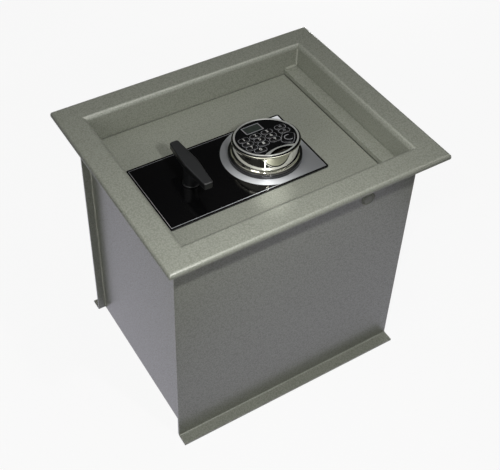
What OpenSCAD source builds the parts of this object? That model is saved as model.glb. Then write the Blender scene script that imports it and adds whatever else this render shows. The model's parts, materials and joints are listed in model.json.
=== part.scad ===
// In-floor safe: folded sheet body with a wide top flange, a recessed hinged steel door,
// a black T-handle driving three locking bolts, and a round electronic keypad.
// Units are millimetres. X runs along the long front side, Y away from the front, Z up.
// The origin is on the ground under the centre of the flange.

/* [Body] */
// Clear width between the side panels
inside_w = 310; // [290:1:400]
// Clear depth between the front and back panels
inside_d = 241; // [225:1:320]
// Height from the ground to the top of the flange
safe_h = 360; // [300:1:500]
// Thickness of the body sheet
sheet_t = 3; // [2:0.5:4]
// Width of the top flange, from the wall's inner face to the lip's outer face
rim_w = 35; // [28:1:60]
// Height of the turned-down lip at the flange's outer edge
lip_h = 9; // [7:0.5:20]
// Outer radius of the bend from the recess wall into the flange
recess_bend_r = 6; // [5:0.5:9]
// Outer radius of the bend from the flange into the lip
lip_bend_r = 4.5; // [4.2:0.1:6]
// How far the front and back sheets run past the side panels, as anchor wings
wing_w = 11; // [5:1:20]
// How far the front and back sheets turn outwards at the ground
foot_w = 16; // [8:1:26]
// Inner radius of the bend at the ground
foot_bend_r = 2; // [1:0.5:4]

/* [Floor] */
// Thickness of the floor plate
floor_t = 4; // [3:0.5:8]
// Height of the floor plate's underside above the ground
floor_lift = 5; // [5:0.5:10]
// Diameter of each anchor hole
anchor_d = 12; // [8:0.5:18]
// Spacing of the anchor holes along X
anchor_span_x = 180; // [80:1:240]
// Spacing of the anchor holes along Y
anchor_span_y = 120; // [60:1:180]

/* [Door] */
// Depth of the recess, from the flange's top to the door's top
recess_depth = 40; // [38:1:60]
// Thickness of the door plate
door_t = 8; // [6:0.5:8]
// Gap between the door and the recess walls
door_gap = 1; // [0.5:0.1:2]
// Width of the raised strip over the hinge side
strip_w = 19; // [18:0.5:22]
// Height of the strip's top above the door
strip_h = 8; // [4:0.5:14]
// Gap between the door's top face and the strip's underside
strip_gap = 0.5; // [0.3:0.1:1]
// Width of the bar that carries the strip
strip_bar_w = 15; // [8:0.5:15]
// Depth of that bar below the strip
strip_bar_h = 14.5; // [6:0.5:20]
// Width of the ledges that the door rests on
ledge_w = 20; // [12:1:20]
// Thickness of the ledges
ledge_t = 6; // [4:0.5:8]
// Gap between the closed door and its ledges
seat_gap = 0.2; // [0.1:0.1:0.5]

/* [Hinge] */
// Distance of the hinge axis from the inner face of the right wall
hinge_inset = 58; // [56:1:62]
// Depth of the hinge axis below the door's top
hinge_drop = 14.5; // [14.5:0.5:16]
// Diameter of the hinge pins
hinge_pin_d = 10; // [8:0.5:10]
// Radial running fit of the pins in the lugs
pin_fit = 0.05; // [0.02:0.01:0.1]
// Thickness of each hinge lug
lug_t = 10; // [6:0.5:12]
// Radius of the round end of each lug
lug_r = 9; // [8:0.5:10]
// Gap between a lug and the wall beside it
lug_gap = 3; // [1:0.5:4]
// Radius of the weld that holds each pin in the wall
pin_weld_r = 7.5; // [6.5:0.5:10]
// Height of that weld
pin_weld_h = 1.5; // [0.5:0.5:3]

/* [Fascia] */
// Width of the fascia plate along X
fascia_w = 220; // [218:1:225]
// Depth of the fascia plate along Y
fascia_d = 115; // [110:1:140]
// Thickness of the fascia plate
fascia_t = 2; // [1:0.5:3]
// Radius of the fascia's corners
fascia_r = 3; // [1:0.5:10]
// Distance of the fascia's left edge from the inner face of the left wall
fascia_inset = 14; // [12:1:16]
// Centre line of the fascia, the handle and the keypad along Y
row_y = -8; // [-14:1:6]

/* [Handle] */
// Distance of the handle's axis from the inner face of the left wall
handle_inset = 73; // [71:1:75]
// Length of the handle bar
handle_l = 95; // [70:1:110]
// Width of the bar at its middle
handle_mid_w = 21.5; // [18:0.5:26]
// Width of the bar at its ends
handle_end_w = 11.5; // [8:0.5:16]
// Thickness of the bar
handle_t = 7.5; // [5:0.5:10]
// Height of the bar's top above the fascia
handle_h = 28.4; // [24:0.2:34]
// Radius of the stem where it meets the fascia
stem_low_r = 10.5; // [9:0.5:13]
// Radius of the stem under the bar
stem_top_r = 9; // [8:0.5:12]
// Diameter of the spindle
spindle_d = 10; // [8:0.5:11]
// Gap under the handle, above the fascia
handle_gap = 0.4; // [0.2:0.1:1]

/* [Boltwork] */
// Diameter of the locking bolts
bolt_d = 16; // [12:0.5:18]
// Distance between neighbouring bolts
bolt_pitch = 70; // [62:1:76]
// Travel of the bolts
bolt_throw = 18; // [14:0.5:20]
// Gap between a bolt and the underside of its ledge
bolt_gap = 1; // [0.5:0.1:2]
// Gap between a drawn-back bolt and the edge of its ledge
tip_gap = 2; // [1.5:0.1:3]
// Length of a bolt
bolt_l = 33; // [30:1:34]
// Radial fit of the bolts in their guide
bolt_fit = 0.1; // [0.05:0.01:0.2]
// Thickness of the bolt guide
guide_t = 4; // [3:0.5:5]
// Thickness of the bolt carrier
carrier_t = 3; // [2:0.5:4]
// Diameter of the crank pin
crank_pin_d = 6; // [4:0.5:7]
// Play of the crank pin in its cross slot, on each side
crank_play = 0.7; // [0.6:0.1:1.2]

/* [Lock] */
// Distance of the lock's and keypad's axis from the inner face of the left wall
lock_inset = 177.5; // [175:0.5:180]
// Width of the lock case along X
lock_w = 61; // [55:1:66]
// Length of the lock case along Y
lock_l = 85; // [78:1:90]
// Height of the lock case
lock_h = 33; // [30:1:36]
// Thickness of the anti-drill plate above the lock case
hard_t = 3; // [2:0.5:5]
// Width of the lock's own bolt
lock_bolt_w = 9; // [6:0.5:9.5]
// Height of the lock's own bolt
lock_bolt_h = 14; // [10:0.5:15]
// Travel of the lock's own bolt
lock_throw = 10; // [6:0.5:10]

/* [Keypad] */
// Radius of the keypad's base
base_r = 46.3; // [45:0.1:50]
// Height of the base
base_h = 6; // [5:0.5:8]
// Outer radius of the housing
housing_r = 41; // [40:0.1:41.5]
// Wall of the housing
housing_t = 2.5; // [1.5:0.1:2.5]
// How far the bezel stands out past the housing
bezel_over = 1.8; // [1:0.1:3]
// Width of the bezel's ring
bezel_w = 4.7; // [4:0.1:5]
// Thickness of the bezel
bezel_t = 5; // [4.5:0.1:6]
// Height of the bezel's centre above the door
keypad_h = 30.6; // [30.5:0.1:34]
// Tilt of the keypad's face, high at the front
keypad_tilt = 7; // [4:0.5:8]
// Travel of a key
key_travel = 0.8; // [0.4:0.1:0.8]
// Width of a digit key
key_w = 13; // [12:0.1:13.2]
// Depth of a digit key
key_d = 7.6; // [6:0.1:7.8]
// How far a key stands above the face
key_proud = 1; // [0.4:0.1:1.6]

/* [Batteries] */
// Direction that the battery drawer slides, in degrees from +X
drawer_turn = -100.3; // [-110:0.1:-90]
// Half width of the drawer's front
drawer_half_w = 21.5; // [20:0.1:23]
// Radius of the drawer front's lower corners
drawer_corner_r = 16; // [12:0.5:18]
// Diameter of a battery cell
cell_d = 10.4; // [9.8:0.1:10.5]
// Length of a battery cell
cell_l = 44; // [40:0.5:45]

/* [Hidden] */

$fn = 96;
eps = 0.01;
cut = 1;

half_w = inside_w / 2;
half_d = inside_d / 2;
panel_w = inside_w + 2 * (sheet_t + wing_w);
wall_top = safe_h - recess_bend_r;
foot_outer_r = foot_bend_r + sheet_t;

door_top = safe_h - recess_depth;
door_low = door_top - door_t;
ledge_top = door_low - seat_gap;
ledge_low = ledge_top - ledge_t;
strip_x = half_w - strip_w;
door_x0 = -half_w + door_gap;
door_x1 = strip_x - door_gap;
hinge_x = half_w - hinge_inset;
hinge_z = door_top - hinge_drop;
lug_y = half_d - lug_gap - lug_t;
pin_end_gap = 1;
ledge_stop_gap = 1.8;
ledge_stop = norm([lug_r, hinge_z - door_low]) + ledge_stop_gap;

fascia_x = -half_w + fascia_inset + fascia_w / 2;
fascia_top = door_top + fascia_t;
handle_x = -half_w + handle_inset;
lock_x = -half_w + lock_inset;
spindle_top = fascia_top + handle_h - handle_t - 1;
bush_wall = 3;
bush_flange_r = 11;
bush_flange_t = 3;

stem_low = fascia_top + handle_gap;
stem_collar_h = 2;
stem_step = 0.8;
grub_d = 4;
grub_l = 3.6;
grub_lift = 9;
grub_z = fascia_top + grub_lift;

bolt_z = ledge_low - bolt_gap - bolt_d / 2;
bolt_tip_x = -half_w + ledge_w + tip_gap;
bolt_screw_d = 6;
bolt_screw_bite = 12;
nose_out = 2;
guide_x = bolt_tip_x + nose_out;
flange_x = bolt_tip_x + bolt_l;
stud_dx = 22;
stud_x = handle_x + stud_dx;
stud_dy = 50;
stud_d = 8;
stud_fit = 0.4;
stud_head_d = 14;
slot_gap = 0.5;
slot_edge = 4;
carrier_edge = 1;
carrier_low = bolt_z - bolt_d / 2 - carrier_edge;
carrier_top = carrier_low + carrier_t;
carrier_x1 = stud_x + bolt_throw + stud_d / 2 + stud_fit + slot_edge;
spindle_end = 2;
spindle_low = carrier_low - spindle_end;
spindle_play = 0.6;
// The crank's arm stands at 45 degrees at rest, so a quarter turn draws the carrier straight
crank_rest = 45;
crank_r = bolt_throw / sqrt(2);
crank_t = 5;
crank_gap = 5;
crank_low = carrier_top + crank_gap;
crank_hub_r = 9;
ring_t = 1.2;
ring_gap = 0.3;

hard_low = door_low - hard_t;
lock_low = hard_low - lock_h;
lock_wall = 3;
lock_cover_t = 3;
lock_y0 = row_y - lock_l / 2 + 0.5;
lock_y1 = lock_y0 + lock_l;
lock_ceiling = hard_low - lock_wall;
lock_bolt_drop = 12;
lock_bolt_z = bolt_z - lock_bolt_drop;
lock_bolt_rest = 1;
lock_bolt_l = 31;
lock_screw_d = 5;
lock_screw_in = 6;
lock_screw_bite = 5;
motor_d = 14;
motor_l = 28;
motor_inset = 4;
motor_y0 = lock_y0 + lock_wall + motor_inset;
motor_z = lock_bolt_z + lock_bolt_h / 2;
tab_t = 4;
tab_gap = (bolt_throw - tab_t - lock_bolt_w) / 2;
tab_x = lock_x + lock_bolt_w / 2 + tab_gap;
strap_gap = 15;
strap_y = lock_y1 + strap_gap;
strap_w = 12;

face_z = door_top + keypad_h;
base_top = fascia_top + base_h;
base_floor_t = 2;
base_edge = 1.2;
housing_floor_t = 1;
housing_flare = 1.6;
housing_in_r = housing_r - housing_t;
shelf_in = 2.1;
bezel_r = housing_r + bezel_over;
face_r = bezel_r - bezel_w;
// The keys and the display keep their places on the face as its radius changes
layout_r = 38.1;
layout = face_r / layout_r;
face_sink = 0.6;
face_t = 1.6;
face_fit = 0.1;
keypad_screw_d = 4;
keypad_screw_bite = 5;
keypad_screw_r = 30;
key_gap = 0.25;
key_lip = 0.6;
key_lip_t = 0.7;
key_lip_drop = 0.2;
key_low = -face_sink - face_t - key_lip_drop - key_lip_t;
key_over_mat = 0.1;
mat_top = key_low - key_travel - key_over_mat;
mat_t = 0.8;
board_t = 1.6;
board_fit = 0.3;
board_r = face_r - shelf_in - board_fit;
board_low = mat_top - mat_t - board_t;
bite_gap = 0.2;
board_bite_gap = 0.8;
bite_y = -71.4;
bite_x = -0.8;
bite_r = 44.7;
hollow_edge = 2.2;
hollow_up_r = 24.7;
hollow_up_y = -55;
hollow_depth = 4.2;
display_size = [21.8, 12.4];
display_at = [-4.8, 23.9];
key_round = 3.4;
key_x = [-26.4, -9.9, 6.6, 25.8];
key_y = [8.2, -1.2, -10.5, -19.9];
function_key_w = 13;
zero_key_at = [-20, key_y[3]];
zero_key_w = 14.5;
enter_at = [21.9, -17.2];
enter_r = 10.8;
enter_rim_r = 34.4;
enter_top = -7;
enter_side_at = [15.9, -11.8];
enter_side_turn = 51.5;

drawer_lift = 0.3;
drawer_low = base_top + housing_floor_t + drawer_lift;
drawer_fit = 0.25;
tray_wall = 1;
tray_fit = 0.2;
tray_half_w = cell_d + tray_wall + tray_fit;
tray_lift = 1.4;
tray_low = drawer_low + tray_lift;
tray_y0 = -housing_r + housing_t / 2;
cell_inset = 2;
cell_y0 = tray_y0 + housing_t + cell_inset;
cell_end_gap = 0.4;
tray_y1 = cell_y0 + cell_l + tray_wall + cell_end_gap;

cable_d = 4;
cable_dy = 16;
cable_y = row_y + cable_dy;
cable_top = face_z - (cable_dy + cable_d) * sin(keypad_tilt) + board_low * cos(keypad_tilt);
cable_hole_d = cable_d + 1;
tube_d = 10;
tube_wall = 1.5;

// Cuts a round hole right through whatever lies between two heights
module drill(d, low, high) {
    translate([0, 0, low - cut]) cylinder(d = d, h = high - low + 2 * cut);
}

// Cuts a six-sided socket down into a screw's head
module hex_socket(d, top, depth) {
    translate([0, 0, top - depth]) cylinder(d = d, h = depth + cut, $fn = 6);
}

module round_rect(w, d, r) {
    square([w - 2 * r, d], center = true);
    square([w, d - 2 * r], center = true);
    for (x = [-1, 1], y = [-1, 1])
        translate([x * (w / 2 - r), y * (d / 2 - r)]) circle(r);
}

module quarter_ring(outer_r, inner_r) {
    intersection() {
        difference() {
            circle(outer_r);
            circle(inner_r);
        }
        translate([-outer_r, 0]) square(outer_r);
    }
}

// Section of the flange: bend, flat and turned-down lip, outwards from the wall's inner face
module rim_section() {
    translate([recess_bend_r, wall_top]) quarter_ring(recess_bend_r, recess_bend_r - sheet_t);
    translate([0, wall_top - eps]) square([sheet_t, eps]);
    translate([recess_bend_r, safe_h - sheet_t])
        square([rim_w - recess_bend_r - lip_bend_r, sheet_t]);
    translate([rim_w - lip_bend_r, safe_h - lip_bend_r])
        mirror([1, 0]) quarter_ring(lip_bend_r, lip_bend_r - sheet_t);
    translate([rim_w - sheet_t, safe_h - lip_h]) square([sheet_t, lip_h - lip_bend_r]);
}

// One side of the flange, mitred at both ends, with its outward direction along +Y
module rim_side(half_l, half_depth) {
    length = 2 * (half_l + rim_w);
    intersection() {
        translate([-length / 2, half_depth, 0])
            rotate([90, 0, 90]) linear_extrude(length) rim_section();
        linear_extrude(safe_h + cut)
            polygon([[-half_l, half_depth], [half_l, half_depth],
                [half_l + rim_w, half_depth + rim_w], [-half_l - rim_w, half_depth + rim_w]]);
    }
}

// Section of the sheet's turned-out bottom edge, outwards from the wall's inner face
module foot_section() {
    translate([foot_outer_r, foot_outer_r])
        mirror([0, 1]) quarter_ring(foot_outer_r, foot_bend_r);
    translate([foot_outer_r, 0]) square([foot_w + sheet_t - foot_outer_r, sheet_t]);
}

module end_panel() {
    difference() {
        union() {
            translate([-panel_w / 2, half_d, foot_outer_r])
                cube([panel_w, sheet_t, wall_top - foot_outer_r]);
            for (x = [-panel_w / 2, half_w + recess_bend_r])
                translate([x, half_d, wall_top - eps])
                    cube([panel_w / 2 - half_w - recess_bend_r, sheet_t, recess_bend_r - sheet_t + eps]);
            translate([-panel_w / 2, half_d, 0])
                rotate([90, 0, 90]) linear_extrude(panel_w) foot_section();
            rim_side(half_w, half_d);
        }
        translate([hinge_x, 0, hinge_z])
            rotate([-90, 0, 0]) drill(hinge_pin_d, half_d, half_d + sheet_t);
    }
}

module side_panel() {
    translate([half_w, -half_d, 0]) cube([sheet_t, inside_d, wall_top]);
    rotate([0, 0, -90]) rim_side(half_d, half_w);
}

module front_panel() {
    color("#7d7f73") mirror([0, 1, 0]) end_panel();
}

module back_panel() {
    color("#74766b") end_panel();
}

module right_panel() {
    color("#797b70") side_panel();
}

module left_panel() {
    color("#84867b") mirror([1, 0, 0]) side_panel();
}

module floor_plate() {
    color("#6d6f66") difference() {
        translate([-half_w, -half_d, floor_lift]) cube([inside_w, inside_d, floor_t]);
        for (x = [-1, 1], y = [-1, 1])
            translate([x * anchor_span_x / 2, y * anchor_span_y / 2, 0])
                drill(anchor_d, floor_lift, floor_lift + floor_t);
    }
}

module left_ledge() {
    color("#6f7167")
        translate([-half_w, -half_d, ledge_low]) cube([ledge_w, inside_d, ledge_t]);
}

module end_ledge() {
    translate([-half_w + ledge_w, half_d - ledge_w, ledge_low])
        cube([hinge_x - ledge_stop + half_w - ledge_w, ledge_w, ledge_t]);
}

module front_ledge() {
    color("#6f7167") mirror([0, 1, 0]) end_ledge();
}

module back_ledge() {
    color("#6f7167") end_ledge();
}

module hinge_cover_strip() {
    color("#777a6e") translate([strip_x, -half_d, door_top + strip_gap])
        cube([strip_w, inside_d, strip_h - strip_gap]);
}

module strip_support_bar() {
    color("#6f7167") translate([half_w - strip_bar_w, -half_d, door_top + strip_gap - strip_bar_h])
        cube([strip_bar_w, inside_d, strip_bar_h]);
}

module hinge_pins() {
    color("#55564e") for (side = [0, 1]) mirror([0, side, 0])
        translate([hinge_x, 0, hinge_z]) rotate([-90, 0, 0]) {
            translate([0, 0, lug_y - pin_end_gap])
                cylinder(d = hinge_pin_d, h = half_d + sheet_t - lug_y + pin_end_gap + eps);
            translate([0, 0, half_d + sheet_t])
                cylinder(r1 = pin_weld_r, r2 = pin_weld_r - pin_weld_h, h = pin_weld_h);
        }
}

module door_plate() {
    color("#7b7d72") difference() {
        translate([door_x0, -half_d + door_gap, door_low])
            cube([door_x1 - door_x0, inside_d - 2 * door_gap, door_t]);
        translate([handle_x, row_y, 0]) drill(spindle_d + 2 * bush_wall, door_low, door_top);
        translate([lock_x, cable_y, 0]) drill(tube_d, door_low, door_top);
        lock_screw_places() translate([0, 0, door_low - cut])
            cylinder(d = lock_screw_d, h = lock_screw_bite + cut);
        keypad_screw_places() translate([0, 0, door_top - keypad_screw_bite])
            cylinder(d = keypad_screw_d, h = keypad_screw_bite + cut);
    }
}

module hinge_lugs() {
    color("#6a6b66") for (side = [0, 1]) mirror([0, side, 0])
        translate([hinge_x, lug_y, hinge_z]) rotate([-90, 0, 0]) difference() {
            linear_extrude(lug_t) intersection() {
                union() {
                    circle(lug_r);
                    translate([-lug_r, hinge_z - door_low]) square([2 * lug_r, door_low - hinge_z]);
                }
                translate([-lug_r, hinge_z - door_low]) square(2 * lug_r);
            }
            drill(hinge_pin_d + 2 * pin_fit, 0, lug_t);
        }
}

module fascia_plate() {
    color("#17181a") difference() {
        translate([fascia_x, row_y, door_top])
            linear_extrude(fascia_t) round_rect(fascia_w, fascia_d, fascia_r);
        translate([handle_x, row_y, 0]) drill(spindle_d + 1, door_top, fascia_top);
        translate([lock_x, cable_y, 0]) drill(tube_d, door_top, fascia_top);
        keypad_screw_places() drill(keypad_screw_d, door_top, fascia_top);
    }
}

module handle_bush() {
    color("#b08a4a") translate([handle_x, row_y, 0]) difference() {
        union() {
            translate([0, 0, door_low]) cylinder(d = spindle_d + 2 * bush_wall, h = door_t);
            translate([0, 0, door_low - bush_flange_t]) cylinder(r = bush_flange_r, h = bush_flange_t + eps);
        }
        drill(spindle_d + 2 * pin_fit, door_low - bush_flange_t, door_top);
    }
}

module bolt_places() {
    for (i = [-1, 0, 1]) translate([0, row_y + i * bolt_pitch, bolt_z]) children();
}

module bolt_guide() {
    end_margin = 6;
    guide_y0 = row_y - bolt_pitch - bolt_d / 2 - end_margin;
    guide_l = 2 * (bolt_pitch + bolt_d / 2 + end_margin);
    guide_low = bolt_z - bolt_d / 2 - 4;
    foot_t = 3;
    foot_l = 15;
    color("#a9abad") difference() {
        union() {
            translate([guide_x, guide_y0, guide_low]) cube([guide_t, guide_l, door_low - guide_low]);
            translate([guide_x, guide_y0, door_low - foot_t]) cube([guide_t + foot_l, guide_l, foot_t]);
        }
        bolt_places() rotate([0, 90, 0]) drill(bolt_d + 2 * bolt_fit, guide_x, guide_x + guide_t);
    }
}

module stud_places() {
    for (side = [-1, 1]) translate([stud_x, row_y + side * stud_dy, 0]) children();
}

module carrier_studs() {
    color("#c9cacc") stud_places() {
        translate([0, 0, carrier_top + slot_gap])
            cylinder(d = stud_head_d, h = door_low - carrier_top - slot_gap);
        translate([0, 0, carrier_low - slot_gap - eps])
            cylinder(d = stud_d, h = carrier_t + 2 * slot_gap + 2 * eps);
        translate([0, 0, carrier_low - slot_gap - carrier_t]) cylinder(d = stud_head_d, h = carrier_t);
    }
}

module lock_screw_places() {
    for (x = [-1, 1], y = [lock_y0 + lock_screw_in, lock_y1 - lock_screw_in])
        translate([lock_x + x * (lock_w / 2 - lock_screw_in), y, 0]) children();
}

module hard_plate() {
    over = 5;
    color("#8e9092") difference() {
        translate([lock_x - lock_w / 2 - over, lock_y0 - over, hard_low])
            cube([lock_w + 2 * over, lock_l + 2 * over, hard_t]);
        translate([lock_x, cable_y, 0]) drill(tube_d, hard_low, door_low);
        lock_screw_places() drill(lock_screw_d, hard_low, door_low);
    }
}

module lock_case() {
    post_r = 5.5;
    rib_t = 3.5;
    rib_gap = 0.2;
    rib_y0 = lock_y1 - lock_bolt_l + 3;
    color("#b9bbbd") difference() {
        union() {
            difference() {
                translate([lock_x - lock_w / 2, lock_y0, lock_low]) cube([lock_w, lock_l, lock_h]);
                translate([lock_x - lock_w / 2 + lock_wall, lock_y0 + lock_wall, lock_low - cut])
                    cube([lock_w - 2 * lock_wall, lock_l - 2 * lock_wall, lock_h - lock_wall + cut]);
            }
            lock_screw_places() translate([0, 0, lock_low]) cylinder(r = post_r, h = lock_h - eps);
            for (x = [lock_x - lock_bolt_w / 2 - rib_gap - rib_t, lock_x + lock_bolt_w / 2 + rib_gap])
                translate([x, rib_y0, lock_bolt_z])
                    cube([rib_t, lock_y1 - rib_y0 - eps, lock_ceiling - lock_bolt_z + eps]);
        }
        lock_screw_places() drill(lock_screw_d, lock_low, hard_low);
        translate([lock_x - lock_bolt_w / 2 - rib_gap, lock_y1 - lock_wall - cut, lock_bolt_z - rib_gap])
            cube([lock_bolt_w + 2 * rib_gap, lock_wall + 2 * cut, lock_bolt_h + 2 * rib_gap]);
        translate([lock_x, cable_y, 0]) drill(cable_hole_d, lock_ceiling, hard_low);
    }
}

module lock_cover() {
    color("#c4c6c8") difference() {
        translate([lock_x - lock_w / 2, lock_y0, lock_low - lock_cover_t])
            cube([lock_w, lock_l, lock_cover_t]);
        lock_screw_places() drill(lock_screw_d, lock_low - lock_cover_t, lock_low);
    }
}

module lock_screws() {
    head_d = 9;
    head_t = 3;
    socket_d = 4;
    socket_depth = 1.6;
    end_gap = 0.5;
    head_top = lock_low - lock_cover_t;
    color("#d0d1d3") lock_screw_places() {
        translate([0, 0, head_top - eps])
            cylinder(d = lock_screw_d, h = door_low + lock_screw_bite - end_gap - head_top);
        translate([0, 0, head_top]) rotate([180, 0, 0]) difference() {
            cylinder(d = head_d, h = head_t);
            hex_socket(socket_d, head_t, socket_depth);
        }
    }
}

module lock_motor() {
    shaft_d = 3;
    shaft_bite = 12;
    shaft_end = lock_y1 + lock_bolt_rest - lock_bolt_l + shaft_bite;
    bracket_over = 12;
    bracket_y1 = motor_y0 + motor_l + bracket_over;
    terminal_w = 8;
    terminal_h = 4;
    color("#9fa3a8") {
        translate([lock_x, motor_y0, motor_z]) rotate([-90, 0, 0]) cylinder(d = motor_d, h = motor_l);
        translate([lock_x - motor_d / 2, motor_y0, motor_z])
            cube([motor_d, bracket_y1 - motor_y0, lock_ceiling - motor_z]);
        translate([lock_x - terminal_w / 2, bracket_y1 - eps, lock_ceiling - terminal_h])
            cube([terminal_w, cable_y + cable_d - bracket_y1, terminal_h]);
        translate([lock_x, motor_y0 + motor_l - eps, motor_z])
            rotate([-90, 0, 0]) cylinder(d = shaft_d, h = shaft_end - motor_y0 - motor_l);
    }
}

module cable_tube() {
    color("#8c8f92") translate([lock_x, cable_y, 0]) difference() {
        translate([0, 0, hard_low]) cylinder(d = tube_d, h = fascia_top + base_floor_t - hard_low);
        drill(tube_d - 2 * tube_wall, hard_low, fascia_top + base_floor_t);
    }
}

module keypad_cable() {
    color("#202224") translate([lock_x, cable_y, lock_ceiling])
        cylinder(d = cable_d, h = cable_top - lock_ceiling);
}

module keypad_screw_places() {
    for (turn = [45, 225]) translate([lock_x, row_y, 0])
        rotate([0, 0, turn]) translate([keypad_screw_r, 0, 0]) children();
}

module keypad_base() {
    color("#8f9396") difference() {
        translate([lock_x, row_y, fascia_top]) rotate_extrude() difference() {
            union() {
                square([base_r, base_h - base_edge]);
                square([base_r - base_edge, base_h]);
                translate([base_r - base_edge, base_h - base_edge]) circle(base_edge);
            }
            translate([-cut, base_floor_t]) square([housing_in_r + cut, base_h]);
        }
        translate([lock_x, cable_y, 0]) drill(tube_d, fascia_top, fascia_top + base_floor_t);
        keypad_screw_places() drill(keypad_screw_d, fascia_top, fascia_top + base_floor_t);
    }
}

module keypad_screws() {
    head_d = 7.5;
    head_t = 2.4;
    socket_d = 3;
    socket_depth = 1.2;
    end_gap = 0.5;
    color("#c9cacc") keypad_screw_places() {
        translate([0, 0, door_top - keypad_screw_bite + end_gap])
            cylinder(d = keypad_screw_d, h = fascia_t + base_floor_t + keypad_screw_bite - end_gap + eps);
        translate([0, 0, fascia_top + base_floor_t]) difference() {
            cylinder(d = head_d, h = head_t);
            hex_socket(socket_d, head_t, socket_depth);
        }
    }
}

// Places children on the tilted face, with z = 0 at the bezel's top plane
module on_face() {
    translate([lock_x, row_y, face_z]) rotate([-keypad_tilt, 0, 0]) children();
}

// Places children in the drawer's frame, where it slides out along -Y
module on_drawer() {
    translate([lock_x, row_y, 0]) rotate([0, 0, drawer_turn + 90]) children();
}

// Outline of the drawer's front, seen from outside
module drawer_outline(fit) {
    w = drawer_half_w - fit;
    low = drawer_low + fit;
    high = safe_h;
    translate([-w, low + drawer_corner_r]) square([2 * w, high - low - drawer_corner_r]);
    translate([-w + drawer_corner_r, low]) square([2 * (w - drawer_corner_r), drawer_corner_r + cut]);
    for (side = [-1, 1])
        translate([side * (w - drawer_corner_r), low + drawer_corner_r]) circle(drawer_corner_r);
}

module drawer_prism(fit) {
    rotate([90, 0, 0]) linear_extrude(housing_r + housing_flare + cut) drawer_outline(fit);
}

module housing_tube() {
    difference() {
        cylinder(r = housing_r, h = safe_h);
        drill(2 * housing_in_r, 0, safe_h);
    }
}

// All the space above a plane that lies a gap below the bezel's underside
module above_bezel_seat(gap) {
    on_face() translate([0, 0, -bezel_t - gap]) cylinder(r = 2 * housing_r, h = safe_h);
}

module keypad_housing() {
    rail_x = 6;
    rail_w = 2;
    rail_gap = 0.3;
    rail_y0 = -housing_in_r + 4;
    wall_in = 0.5;
    wall_h = safe_h - base_top;
    color("#c3c5c4") difference() {
        union() {
            translate([lock_x, row_y, base_top]) rotate_extrude()
                polygon([[0, 0], [housing_r + housing_flare, 0], [housing_r, housing_flare],
                    [housing_r, wall_h], [housing_in_r, wall_h],
                    [housing_in_r, housing_floor_t], [0, housing_floor_t]]);
            on_drawer() for (side = [-1, 1])
                translate([side * rail_x - rail_w / 2, rail_y0, base_top])
                    cube([rail_w, tray_y1 - rail_y0, tray_low - rail_gap - base_top]);
        }
        above_bezel_seat(0);
        on_drawer() difference() {
            drawer_prism(0);
            cylinder(r = housing_in_r - wall_in, h = safe_h);
        }
        translate([lock_x, cable_y, 0]) drill(cable_hole_d, base_top, base_top + housing_floor_t);
    }
}

module bite(grow) {
    translate(layout * [bite_x, bite_y]) circle(layout * bite_r + grow);
}

module keypad_bezel() {
    color("#cfd1d0") on_face() difference() {
        union() {
            translate([0, 0, -bezel_t]) linear_extrude(bezel_t) {
                difference() {
                    circle(bezel_r);
                    circle(face_r);
                }
                intersection() {
                    circle(bezel_r - cut);
                    bite(0);
                }
            }
            translate([0, 0, -bezel_t]) linear_extrude(bezel_t - face_sink - face_t) difference() {
                circle(face_r + cut);
                circle(face_r - shelf_in);
            }
        }
        translate([0, 0, -hollow_depth]) linear_extrude(hollow_depth + cut) intersection() {
            circle(bezel_r - hollow_edge);
            translate([0, layout * hollow_up_y]) circle(layout * hollow_up_r);
        }
    }
}

module key_outline(at, w, grow) {
    translate(layout * at)
        round_rect(layout * w + 2 * grow, layout * key_d + 2 * grow, layout * key_round + grow);
}

// Outline of the large key: a disc cut along the rim, at its top and beside the digit keys
module enter_outline(grow) {
    reach = 2 * face_r;
    intersection() {
        translate(layout * enter_at) circle(layout * enter_r + grow);
        circle(layout * enter_rim_r + grow);
        translate([-reach, layout * enter_top - 2 * reach + grow]) square(2 * reach);
        translate(layout * enter_side_at) rotate(enter_side_turn)
            translate([-reach, -2 * reach + grow]) square(2 * reach);
    }
}

function digit_at(n) = n == 0 ? zero_key_at : [key_x[(n - 1) % 3], key_y[floor((n - 1) / 3)]];
function digit_w(n) = n == 0 ? zero_key_w : key_w;

module digit_outline(n, grow) {
    key_outline(digit_at(n), digit_w(n), grow);
}

module function_outline(row, grow) {
    key_outline([key_x[3], key_y[row]], function_key_w, grow);
}

module all_key_outlines(grow) {
    for (n = [0:9]) digit_outline(n, grow);
    for (row = [0, 1]) function_outline(row, grow);
    enter_outline(grow);
}

module keypad_face() {
    color("#141517") on_face() translate([0, 0, -face_sink - face_t]) linear_extrude(face_t)
        difference() {
            circle(face_r - face_fit);
            bite(bite_gap);
            all_key_outlines(key_gap);
            translate(layout * display_at)
                square(layout * display_size + 2 * [face_fit, face_fit], center = true);
        }
}

module display_window() {
    color("#59645f") on_face() translate([0, 0, mat_top])
        linear_extrude(-face_sink - face_fit - mat_top)
            translate(layout * display_at) square(layout * display_size, center = true);
}

module key_mat() {
    color("#33363a") on_face() translate([0, 0, mat_top - mat_t]) linear_extrude(mat_t)
        difference() {
            circle(board_r);
            bite(board_bite_gap);
        }
}

module circuit_board() {
    color("#2f5b3c") on_face() translate([0, 0, board_low]) linear_extrude(board_t)
        difference() {
            circle(board_r);
            bite(board_bite_gap);
        }
}

// Makes a key of two outlines: its lip under the face, and its cap through the face
module key_cap() {
    color("#1d1f22") on_face() translate([0, 0, key_low]) {
        linear_extrude(key_lip_t) children(0);
        linear_extrude(key_proud - face_sink - key_low) children(1);
    }
}

module digit_key(n) {
    key_cap() {
        digit_outline(n, key_lip);
        digit_outline(n, 0);
    }
}

module function_key(row) {
    key_cap() {
        function_outline(row, key_lip);
        function_outline(row, 0);
    }
}

module key_enter() {
    key_cap() {
        enter_outline(key_lip);
        enter_outline(0);
    }
}

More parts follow.
